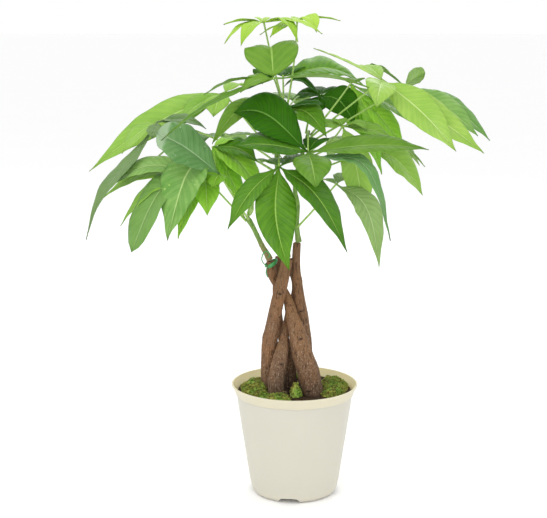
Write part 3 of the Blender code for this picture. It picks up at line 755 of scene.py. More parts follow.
@dataclass
class Pot:
    """Tapered nursery pot with a proud band, a foot ring with four arched notches, and drain holes."""

    rim: float = 75.0 * MM
    height: float = 133.0 * MM
    band: float = 12.0 * MM
    wall_top: float = 69.2 * MM             # wall radius just under the band
    foot: float = 51.0 * MM
    wall: float = 1.6 * MM
    lip: float = 0.9 * MM
    foot_round: float = 8.0 * MM
    foot_rise: float = 4.5 * MM
    foot_width: float = 4.0 * MM
    plate: float = 3.5 * MM
    pad: float = 11.0 * MM
    notch_width: float = 25.0 * MM
    notch_height: float = 6.6 * MM
    notch_turn: float = -98.0
    drain_radius: float = 4.0 * MM
    drain_circle: float = 31.0 * MM
    drain_count: int = 8
    sides: int = 144
    wall_rows: int = 12
    notch_steps: int = 14
    squareness: float = 0.6                 # below 1 a notch's arch is squarer than a half round

    def wall_radius(self, height: float) -> float:
        """Outer radius of the tapered wall."""
        top = self.height - self.band
        return self.foot + (self.wall_top - self.foot) * height / top

    @staticmethod
    def corner(radius: float, height: float, size: float, start: float, end: float,
               count: int) -> list[tuple[float, float]]:
        """Points of a rounded corner, angles in degrees."""
        points = []
        for index in range(count + 1):
            angle = math.radians(start + (end - start) * index / count)
            points.append((radius + size * math.cos(angle), height + size * math.sin(angle)))
        return points

    def outer_profile(self) -> list[tuple[float, float]]:
        """Section from the middle of the pad to the top of the rim."""
        band_low = self.height - self.band
        inner_foot = self.foot - self.foot_round - self.foot_width
        points = [(0.0, 0.0), (self.pad, 0.0), (self.pad + 1.0 * MM, self.foot_rise),
                  (inner_foot, self.foot_rise), (inner_foot + 1.5 * MM, 0.0)]
        foot_middle = self.foot - self.foot_round + 0.6 * MM
        points += self.corner(foot_middle, self.foot_round, self.foot_round, -90, 0, 8)
        for index in range(1, self.wall_rows):
            height = self.foot_round + (band_low - 3.0 * MM - self.foot_round) * index / self.wall_rows
            points.append((self.wall_radius(height), height))
        points.append((self.wall_radius(band_low) - 0.5 * MM, band_low - 0.8 * MM))
        points += self.corner(self.wall_top + 0.3 * MM, band_low + 0.6 * MM, 0.6 * MM, -90, 0, 4)
        points.append((self.wall_top + 2.9 * MM, band_low + 6.0 * MM))
        points.append((self.rim - 0.9 * MM, self.height - 2.6 * MM))
        points += self.corner(self.rim - self.lip, self.height - self.lip, self.lip, 0, 90, 5)
        return points

    def inner_profile(self) -> list[tuple[float, float]]:
        """Section from the rim down the inner face to the middle of the floor."""
        band_low = self.height - self.band
        inner_rim = self.rim - self.wall - 0.4 * MM
        floor = self.foot_rise + self.plate
        return [(inner_rim, self.height), (inner_rim - 0.4 * MM, self.height - 1.6 * MM),
                (self.wall_top + 1.0 * MM, band_low + 5.0 * MM),
                (self.wall_radius(band_low) - self.wall, band_low - 1.0 * MM),
                (self.wall_radius(floor) - self.wall, floor + 3.0 * MM),
                (self.foot - 5.0 * MM, floor), (0.0, floor)]

    def turn(self) -> bpy.types.Object:
        """The turned pot before its notches and holes are cut."""
        sculpt = Sculpt("pot_shell")
        sculpt.value_layer("inner")
        outer = self.outer_profile()
        inner = self.inner_profile()
        rings = []
        for index, (radius, height) in enumerate(outer + inner):
            value = 0.0 if index < len(outer) else 1.0
            if radius == 0.0:
                rings.append([sculpt.point(Vector((0.0, 0.0, height)), inner=value)])
                continue
            ring = []
            for step in range(self.sides):
                spot = polar(radius, math.tau * step / self.sides, height)
                ring.append(sculpt.point(spot, inner=value))
            rings.append(ring)
        for low, high in zip(rings[:-1], rings[1:]):
            for step in range(self.sides):
                following = (step + 1) % self.sides
                if len(low) == 1:
                    sculpt.face((low[0], high[following], high[step]))
                elif len(high) == 1:
                    sculpt.face((low[step], low[following], high[0]))
                else:
                    sculpt.face((low[step], low[following], high[following], high[step]))
        return sculpt.piece([PotFinish().material()], "pot")

    def notch_outline(self) -> list[tuple[float, float]]:
        """Arched outline of a foot notch: offset to the side and height."""
        half = 0.5 * self.notch_width
        outline = []
        for index in range(self.notch_steps + 1):
            angle = math.pi * index / self.notch_steps
            bow = math.copysign(abs(math.cos(angle)) ** self.squareness, math.cos(angle))
            rise = abs(math.sin(angle)) ** self.squareness
            outline.append((half * bow, (self.notch_height + 1.0 * MM) * rise - 1.0 * MM))
        return outline + [(-half, -2.0 * MM), (half, -2.0 * MM)]

    def cutters(self) -> list[bpy.types.Object]:
        """Guides for the foot notches and the drain holes."""
        made = []
        for quarter in range(4):
            out = polar(1.0, math.radians(self.notch_turn + 90.0 * quarter))
            across = Vector((-out.y, out.x, 0.0))
            start = self.foot - 15.0 * MM
            end = self.foot + 4.0 * MM
            made.append(self.prism(self.notch_outline(), out, across, start, end))
        for index in range(self.drain_count):
            middle = polar(self.drain_circle, math.tau * (index + 0.5) / self.drain_count)
            top = middle + Vector((0.0, 0.0, self.foot_rise + self.plate + 4.0 * MM))
            sculpt = Sculpt("drain_guide")
            sculpt.tube([(middle, self.drain_radius), (top, self.drain_radius)], 24)
            made.append(self.guide(sculpt))
        return made

    def prism(self, outline: Sequence[tuple[float, float]], out: Vector, across: Vector, start: float,
              end: float) -> bpy.types.Object:
        """A cutter with the given upright outline between two distances from the axis."""
        sculpt = Sculpt("notch_guide")
        near = []
        far = []
        for offset, height in outline:
            foot = across * offset + Vector((0.0, 0.0, height))
            near.append(sculpt.point(foot + out * start))
            far.append(sculpt.point(foot + out * end))
        for index in range(len(outline)):
            following = (index + 1) % len(outline)
            sculpt.face((near[index], near[following], far[following], far[index]))
        sculpt.face(near[::-1])
        sculpt.face(far)
        return self.guide(sculpt)

    @staticmethod
    def guide(sculpt: Sculpt) -> bpy.types.Object:
        """A cutter object with its faces turned outwards."""
        bmesh.ops.recalc_face_normals(sculpt.shape, faces=sculpt.shape.faces)
        mesh = bpy.data.meshes.new(sculpt.name)
        sculpt.shape.to_mesh(mesh)
        sculpt.shape.free()
        item = bpy.data.objects.new(sculpt.name, mesh)
        bpy.context.collection.objects.link(item)
        return item

    def build(self) -> None:
        """Turn the pot, cut it and keep the cut mesh."""
        pot = self.turn()
        guides = self.cutters()
        for guide in guides:
            cut = pot.modifiers.new(guide.name, "BOOLEAN")
            cut.operation = "DIFFERENCE"
            cut.solver = "EXACT"
            cut.object = guide
        bpy.context.view_layer.update()
        graph = bpy.context.evaluated_depsgraph_get()
        cut_mesh = bpy.data.meshes.new_from_object(pot.evaluated_get(graph))
        pot.modifiers.clear()
        pot.data = cut_mesh
        cut_mesh.set_sharp_from_angle(angle=math.radians(32.0))
        for guide in guides:
            bpy.data.objects.remove(guide)
        LOG.info("pot cut: %d faces", len(cut_mesh.polygons))


# ---------------------------------------------------------------- trunk

@dataclass(frozen=True)
class Knot:
    """A swelling on a stem: distance from its foot in metres, angle in degrees, height as a share."""

    run: float
    angle: float
    height: float = 0.10
    size: float = 5.0 * MM

    slit_height = 1.3 * MM
    slit_spread = 0.34              # half width of the slit, in radians

    def away(self, angle: float) -> float:
        """Angle from the knot, in radians."""
        return math.remainder(angle - math.radians(self.angle), math.tau)

    def slit(self, run: float, angle: float) -> float:
        """How dark the knot's slit is, 1 at its middle."""
        return bell(run, self.run, self.slit_height) * bell(self.away(angle), 0.0, self.slit_spread)


@dataclass(frozen=True)
class Stem:
    """One plaited stem: centre line and radius in millimetres from foot to top, and its knots."""

    name: str
    line: tuple[Row, ...]
    knots: tuple[Knot, ...] = ()
    sides: int = 44
    step: float = 1.6 * MM

    swelling = 0.02                 # these four are shares of the radius
    broad_ridge = 0.012
    fine_ridge = 0.008
    growth_ring = 0.006

    def reach(self, run: float, angle: float) -> float:
        """Factor on the radius: slow swelling, upright ridges and knots.

        Args:
            run: distance from the foot.
            angle: direction round the stem, in radians.

        Returns:
            The factor.
        """
        drift = run / MM
        swell = math.sin(drift * 0.16) * math.sin(drift * 0.053 + 1.0)
        size = 0.985 + self.swelling * swell * math.cos(2.0 * angle + drift * 0.03)
        size += self.broad_ridge * math.sin(9.0 * angle + 1.6 * math.sin(drift * 0.07) + drift * 0.02)
        size += self.fine_ridge * math.sin(17.0 * angle - 1.1 * math.sin(drift * 0.11 + 2.0))
        size += self.growth_ring * math.sin(drift * 1.15 + 0.8 * math.sin(3.0 * angle))
        for knot in self.knots:
            near = bell(run, knot.run, knot.size) * bell(knot.away(angle), 0.0, 0.5)
            slit = 0.6 * bell(run, knot.run, 0.35 * knot.size)
            size += knot.height * near * (1.0 - slit)
        return size

    def scar(self, run: float, angle: float) -> float:
        """How dark the slit across a knot is at a distance from the foot and an angle."""
        return max((knot.slit(run, angle) for knot in self.knots), default=0.0)

    def build(self, bark: bpy.types.Material) -> None:
        """Build the stem with a rounded top edge."""
        path = smooth_path(places(self.line), self.step)
        top, radius = path[-1]
        along = (top - path[-2][0]).normalized()
        path[-1] = (top - along * 0.9 * MM, radius)
        path.append((top - along * 0.3 * MM, 0.93 * radius))
        path.append((top, 0.80 * radius))
        sculpt = Sculpt(self.name + "_bark")
        sculpt.value_layer("scar")
        sculpt.tube(path, self.sides, self.reach, scar=self.scar)
        sculpt.piece([bark], self.name, 50.0)


@dataclass
class Trunk:
    """Five stems plaited round each other."""

    stems: tuple[Stem, ...] = (
        Stem("stem_left", (
            (-30, -4, 70, 8), (-30, -5, 119, 10.3), (-30, -5, 138, 10.1), (-30, -6, 162, 10),
            (-29, -9, 188, 9.3), (-25, -12, 212, 8), (-20, -14, 237, 7.7), (-17, -15, 249, 7.4),
            (-13, -12, 266, 7), (-9, -7, 284, 6.6)),
            (Knot(0.178, 270.0, 0.10, 3.0 * MM), Knot(0.122, 190.0, 0.10, 3.0 * MM),
             Knot(0.150, 320.0, 0.05))),
        Stem("stem_front", (
            (-22, -24, 72, 8), (-22, -24, 119, 9.8), (-22, -24, 143, 9.6), (-18, -22.5, 165, 9),
            (-15, -19.5, 178, 7.6), (-13, -12.5, 188, 5.9), (-11, -4, 198, 5.3), (-8, 2, 209, 5),
            (-6, 6, 220, 4.7), (-2, 12, 231, 4.6), (1, 17, 240, 4.6), (1, 19, 252, 4.6),
            (-3, 18, 266, 4.6), (-5, 18, 280, 4.4)),
            (Knot(0.092, 285.0, 0.05, 7.0 * MM),)),
        Stem("stem_right", (
            (23, -18, 66, 11), (22, -18, 119, 13), (20, -18, 132, 13.2), (15, -18, 154, 13.2),
            (9, -17.3, 172, 12.5), (5, -16, 189, 11.4), (2, -14.5, 201, 9.9),
            (-2, -12.5, 213, 8.2), (-5, -10, 224, 6.8), (-8, -6.5, 235, 5.7), (-13, -2, 244, 5.7),
            (-18, 2, 250, 5.8), (-23, 4, 257, 5.8), (-27, 4.5, 266, 5.9), (-28, 4, 280, 5.5)),
            (Knot(0.128, 285.0, 0.12, 4.0 * MM), Knot(0.066, 250.0, 0.06, 6.0 * MM))),
        Stem("stem_back_right", (
            (15, 15, 74, 8), (15, 14, 120, 9.6), (13, 12, 158, 9), (12, 9, 183, 8.5),
            (9, 5, 208, 8.1), (7, 3, 221, 7.8), (5, 1, 234, 7.3), (3, 1.5, 251, 6.5),
            (1.5, 2, 267, 5.5), (1.5, 2, 283, 4.9), (2.5, 2, 302, 4.6)),
            (Knot(0.150, 275.0, 0.12, 3.5 * MM), Knot(0.185, 350.0, 0.14, 3.0 * MM))),
        Stem("stem_back", (
            (-5, 13, 76, 7), (-5, 13, 119, 7.8), (-5, 13, 150, 7.4), (-7, 13, 166, 7),
            (-12.5, 13, 182, 6.6), (-16, 14, 194, 5.9), (-19, 15, 206, 5.4), (-20.5, 17, 222, 5.2),
            (-21, 18, 246, 5.2), (-20, 19.5, 264, 5.2), (-18, 20, 282, 5))),
    )

    def build(self) -> None:
        """Build the stems in one bark."""
        bark = BarkFinish().material()
        for stem in self.stems:
            stem.build(bark)


@dataclass(frozen=True)
class Shoot:
    """A young green stem: centre line and radius in millimetres, and the heights of its joints."""

    name: str
    line: tuple[Row, ...]
    joints: tuple[float, ...]
    sides: int = 24
    step: float = 1.6 * MM

    ring_width = 1.5 * MM
    groove_offset = 2.4             # millimetres above the joint
    groove_width = 0.7 * MM

    def build(self, skin: bpy.types.Material) -> None:
        """Build the shoot with a ring at each joint."""
        path = smooth_path(places(self.line), self.step)
        ringed = []
        for place, radius in path:
            ring = sum(bell(place.z, joint * MM, self.ring_width) for joint in self.joints)
            groove = sum(bell(place.z, (joint + self.groove_offset) * MM, self.groove_width)
                         for joint in self.joints)
            ringed.append((place, radius * (0.95 + 0.06 * ring - 0.04 * groove)))

        def ribs(run: float, angle: float) -> float:
            """Factor on the radius that makes five faint ribs."""
            return 1.0 + 0.012 * math.sin(5.0 * angle + run * 90.0)

        sculpt = Sculpt(self.name + "_skin")
        sculpt.tube(ringed, self.sides, ribs)
        sculpt.piece([skin], self.name, 60.0)


SHOOTS = {
    "shoot_centre": Shoot("shoot_centre", (
        (-8.4, -6.8, 286.2, 3.9), (-10, -6, 300, 3.6), (-14, -3, 340, 3.3), (-20, -1, 385, 3.0),
        (-21, 0, 410, 2.8), (-17, 0, 438, 2.5), (-13, 0, 460, 2.3), (-12, 1, 468, 1.4)),
        (300, 318, 340, 360, 384, 396, 406, 424, 440, 446, 455)),
    "shoot_right": Shoot("shoot_right", (
        (4.4, 2, 303.2, 4.0), (3, 1, 312, 3.3), (2, 0, 325, 3.0), (3, 0, 347, 2.8), (0, 0, 364, 2.7),
        (2, 1, 385, 2.6), (8, 2, 405, 2.5), (14, 3, 426, 2.3), (16, 3, 433, 1.4)),
        (307, 322, 345, 364, 382, 394, 404, 418, 428)),
    "shoot_left": Shoot("shoot_left", (
        (-29.6, 3.8, 282.0, 4.4), (-33, 2, 289, 3.8), (-38, 0, 298, 3.2), (-43, -1, 309, 2.9),
        (-49, -4, 322, 2.9), (-53, -5, 329, 3.6), (-55, -6, 333, 2.2)),
        (286, 300, 312, 323)),
}


# ---------------------------------------------------------------- leaves

@dataclass(frozen=True)
class Leaflet:
    """One leaflet: its tip seen from the hub, arch and width in millimetres, and its roll in degrees."""

    reach: tuple[float, float, float]
    arch: float
    width: float
    roll: float = 0.0
    bow: float = 0.0                # how far the midrib bends to the side
    widest: float = 0.5             # where along the blade it is widest
    skew: float = 1.2               # above 1 the arch leans towards the tip
    taper: float = 0.28             # drawn-out tip, or a blunt tip if less than 0
    folds: float = 0.35             # height of the creases across the blade
    tone: Optional["Tone"] = None   # where it differs from the leaf

    stalk_share = 0.06              # share of the length that is bare stalk
    fold = 0.14                     # rise of each half from the midrib, as a share of its width
    fullness = 0.09                 # how far each half bulges, as a share of its width
    root = 1.1 * MM
    vein_spacing = 8.0 * MM
    fewest_veins = 4.0              # pairs of side veins
    most_veins = 13.0
    ripple = 0.055                  # height of the margin's waves, as a share of the half width
    rib_width = 0.09                # of the midrib, as a share of the half width
    rib_under = 0.55 * MM           # how far the midrib stands out below
    rib_sunk = 0.18 * MM            # how far it is sunk above
    thick_middle = 0.22 * MM        # half thickness of the blade at the midrib
    thinning = 0.14 * MM            # how much thinner it is at the margin
    rows = 26
    row_spread = 0.93               # below 1 the rows crowd towards the tip
    columns = (-1.0, -0.86, -0.64, -0.42, -0.22, -0.07, 0.0, 0.07, 0.22, 0.42, 0.64, 0.86, 1.0)

    def midrib(self, hub: Vector, share: float) -> Vector:
        """Place on the midrib, 0 at the hub and 1 at the tip."""
        reach = mm(*self.reach)
        left = Vector((-reach.y, reach.x, 0.0)).normalized()
        lift = math.sin(math.pi * share ** self.skew)
        return hub + reach * share + (Vector((0.0, 0.0, self.arch)) + left * self.bow) * (MM * lift)

    def row_frame(self, hub: Vector, share: float) -> tuple[Vector, Vector, Vector]:
        """Place, side direction and upper direction of one row."""
        ahead = self.midrib(hub, min(share + 0.01, 1.0))
        along = (ahead - self.midrib(hub, max(share - 0.01, 0.0))).normalized()
        right = Vector((self.reach[1], -self.reach[0], 0.0)).normalized()
        right = (right - along * right.dot(along)).normalized()
        upper = right.cross(along)
        roll = math.radians(self.roll)
        side = right * math.cos(roll) - upper * math.sin(roll)
        return self.midrib(hub, share), side, side.cross(along)

    def half_width(self, share: float) -> float:
        """Half width of the blade, with a short stalk at the hub and a drawn-out tip."""
        if share <= self.stalk_share:
            return self.root
        inner = (share - self.stalk_share) / (1.0 - self.stalk_share)
        power = math.log(0.5) / math.log(self.widest)
        spread = max(math.sin(math.pi * inner ** power), 0.0) ** (0.98 if self.taper > 0.0 else 0.6)
        drawn = 1.0 - self.taper * ease(0.72, 1.0, inner) * (1.0 - 0.4 * ease(0.94, 1.0, inner))
        return max(0.5 * self.width * MM * spread * drawn, self.root * (1.0 - inner) ** 0.7)

    def add(self, sculpt: Sculpt, hub: Vector, chance: random.Random, part: int) -> None:
        """Add a thin closed blade with sunken midrib, full halves and a waved margin.

        Args:
            sculpt: mesh to add to.
            hub: place where the leaflets meet.
            chance: source of this leaflet's small irregularities.
            part: number of its material.
        """
        length = mm(*self.reach).length
        pairs = min(max(length / self.vein_spacing, self.fewest_veins), self.most_veins)
        tint = chance.uniform(0.15, 0.85)
        phase = chance.uniform(0.0, FULL_TURN)
        waves = chance.uniform(2.4, 3.8)
        swing = chance.uniform(0.35, 1.0) * self.ripple
        layers = ([], [])
        for row in range(self.rows + 1):
            share = (row / self.rows) ** self.row_spread
            place, side, upper = self.row_frame(hub, share)
            wide = self.half_width(share)
            leafy = ease(self.stalk_share, self.stalk_share + 0.08, share)
            for layer, sign in zip(layers, (1.0, -1.0)):
                line = []
                for column in self.columns:
                    wave = swing * math.sin(waves * FULL_TURN * share + phase + 1.3 * column)
                    crease = math.sin(FULL_TURN * pairs * 0.5 * share - 2.6 * abs(column) + phase)
                    creased = self.folds * MM * crease * min(1.6 * abs(column), 1.0)
                    bend = wave * wide * column * column + creased
                    spot = self.spot(place, side, upper, wide, leafy, column, sign, bend)
                    under = 0.0 if sign > 0.0 else 1.0
                    line.append(sculpt.point(spot, tint=tint, pairs=pairs, under=under))
                layer.append(line)
        self.skin(sculpt, layers, part)

    def spot(self, place: Vector, side: Vector, upper: Vector, wide: float, leafy: float, column: float,
             sign: float, bend: float) -> Vector:
        """One point of the blade's upper or lower skin.

        Args:
            place: the midrib at this row.
            side: direction to the margin.
            upper: direction out of the upper skin.
            wide: half width of the blade here.
            leafy: 0 on the stalk and 1 on the blade.
            column: share of the way to the margin, less than 0 on the other half.
            sign: 1 for the upper skin and -1 for the lower.
            bend: extra rise.

        Returns:
            The point.
        """
        out = abs(column)
        rise = wide * (self.fold * out + self.fullness * math.sin(math.pi * out)) + bend
        rib = bell(column, 0.0, self.rib_width)
        blade_half = self.thick_middle - self.thinning * out
        blade_half += self.rib_under * rib if sign < 0.0 else -self.rib_sunk * rib
        stalk_half = self.root * math.sqrt(max(1.0 - out * out, 0.02))
        thick = stalk_half + (blade_half - stalk_half) * leafy
        return place + side * (wide * column) + upper * (rise * leafy + sign * thick)

    def skin(self, sculpt: Sculpt, layers: tuple[list, list], part: int) -> None:
        """Join the points of both skins, the margins and the two ends."""
        last = len(self.columns) - 1
        for lines, order in zip(layers, (1, -1)):
            for row in range(self.rows):
                for index in range(last):
                    corners = []
                    spots = []
                    for step, cell in ((0, index), (0, index + 1), (1, index + 1), (1, index)):
                        corners.append(lines[row + step][cell])
                        spots.append((0.5 + 0.5 * self.columns[cell], (row + step) / self.rows))
                    sculpt.face(corners[::order], spots[::order], part)
        top, under = layers
        for row in range(self.rows):
            low = row / self.rows
            high = (row + 1) / self.rows
            sculpt.face((under[row][0], top[row][0], top[row + 1][0], under[row + 1][0]),
                        ((0.0, low), (0.0, low), (0.0, high), (0.0, high)), part)
            sculpt.face((top[row][last], under[row][last], under[row + 1][last], top[row + 1][last]),
                        ((1.0, low), (1.0, low), (1.0, high), (1.0, high)), part)
        for row, order in ((0, 1), (self.rows, -1)):
            loop = top[row][::-1] + under[row]
            sculpt.face(loop[::order], [(0.5, row / self.rows)] * len(loop), part)


def fan(heading: float, lengths: Sequence[float], drop: float, width: float,
        spread: float) -> tuple[Leaflet, ...]:
    """Leaflets spread evenly about a compass heading.

    Args:
        heading: direction of the middle leaflet, in degrees.
        lengths: length of each leaflet, in millimetres.
        drop: how far a tip lies under the hub, as a share of the length.
        width: width of the longest leaflet.
        spread: angle between neighbours, in degrees.

    Returns:
        The leaflets.
    """
    made = []
    middle = 0.5 * (len(lengths) - 1)
    for index, length in enumerate(lengths):
        angle = math.radians(heading + spread * (index - middle))
        reach = (length * math.cos(angle), length * math.sin(angle), -drop * length)
        made.append(Leaflet(reach, 14, width * (0.75 + 0.25 * length / max(lengths))))
    return tuple(made)


@dataclass(frozen=True)
class Leaf:
    """A hand-shaped leaf: where its stalk leaves a shoot, the bend of the stalk, its hub and its leaflets."""

    name: str
    tone: Tone
    shoot: str
    height: float
    heading: float
    bend: tuple[float, float, float]
    hub: tuple[float, float, float]
    leaflets: tuple[Leaflet, ...]

    gap = 0.3 * MM
    foot_radius = 1.5 * MM
    tip_radius = 1.15 * MM
    shoot_step = 11.0 * MM          # spacing of the places where the shoot's side is looked up
    rings = 22

    def foot(self) -> Vector:
        """Middle of the stalk's foot, against the side of the shoot."""
        angle = math.radians(self.heading)
        out = polar(1.0, angle)
        aim = mm(*self.hub) + 2.0 * mm(*self.bend)
        path = smooth_path(places(SHOOTS[self.shoot].line), self.shoot_step)
        place, radius = path[-1]
        for (low, low_radius), (high, high_radius) in zip(path[:-1], path[1:]):
            if low.z <= self.height * MM <= high.z:
                share = (self.height * MM - low.z) / (high.z - low.z)
                place = low.lerp(high, share)
                radius = low_radius + (high_radius - low_radius) * share
                break
        lean = (aim - place).normalized().dot(out)
        return place + out * (radius + self.gap + self.foot_radius * math.sqrt(1.0 - lean * lean))

    def stalk(self) -> list[PathPoint]:
        """Centre line of the stalk, swollen where it leaves the shoot and under the hub."""
        foot = self.foot()
        hub = mm(*self.hub)
        bend = mm(*self.bend)
        path = []
        for index in range(self.rings + 1):
            share = index / self.rings
            place = foot.lerp(hub, share) + bend * (4.0 * share * (1.0 - share))
            radius = self.foot_radius + (self.tip_radius - self.foot_radius) * share
            slim = 0.80 + 0.20 * bell(share, 0.0, 0.05) + 0.30 * bell(share, 1.0, 0.05)
            path.append((place, radius * slim))
        end = (path[-1][0] - path[-2][0]).normalized()
        path.append((hub + end * 0.9 * MM, 0.9 * self.tip_radius))
        path.append((hub + end * 1.3 * MM, 0.4 * self.tip_radius))
        return path

    def build(self, skins: dict[str, bpy.types.Material], stalk_skin: bpy.types.Material) -> None:
        """Build the stalk and the leaflets as one piece."""
        chance = random.Random(self.name)
        sculpt = Sculpt(self.name + "_fine")
        for name in ("tint", "under", "pairs"):
            sculpt.value_layer(name)
        used = [self.tone] + [leaflet.tone or self.tone for leaflet in self.leaflets]
        tones = list(dict.fromkeys(used))
        sculpt.tube(self.stalk(), 12, None, len(tones), tint=0.5)
        for leaflet in self.leaflets:
            leaflet.add(sculpt, mm(*self.hub), chance, tones.index(leaflet.tone or self.tone))
        sculpt.piece([skins[tone.name] for tone in tones] + [stalk_skin], self.name)


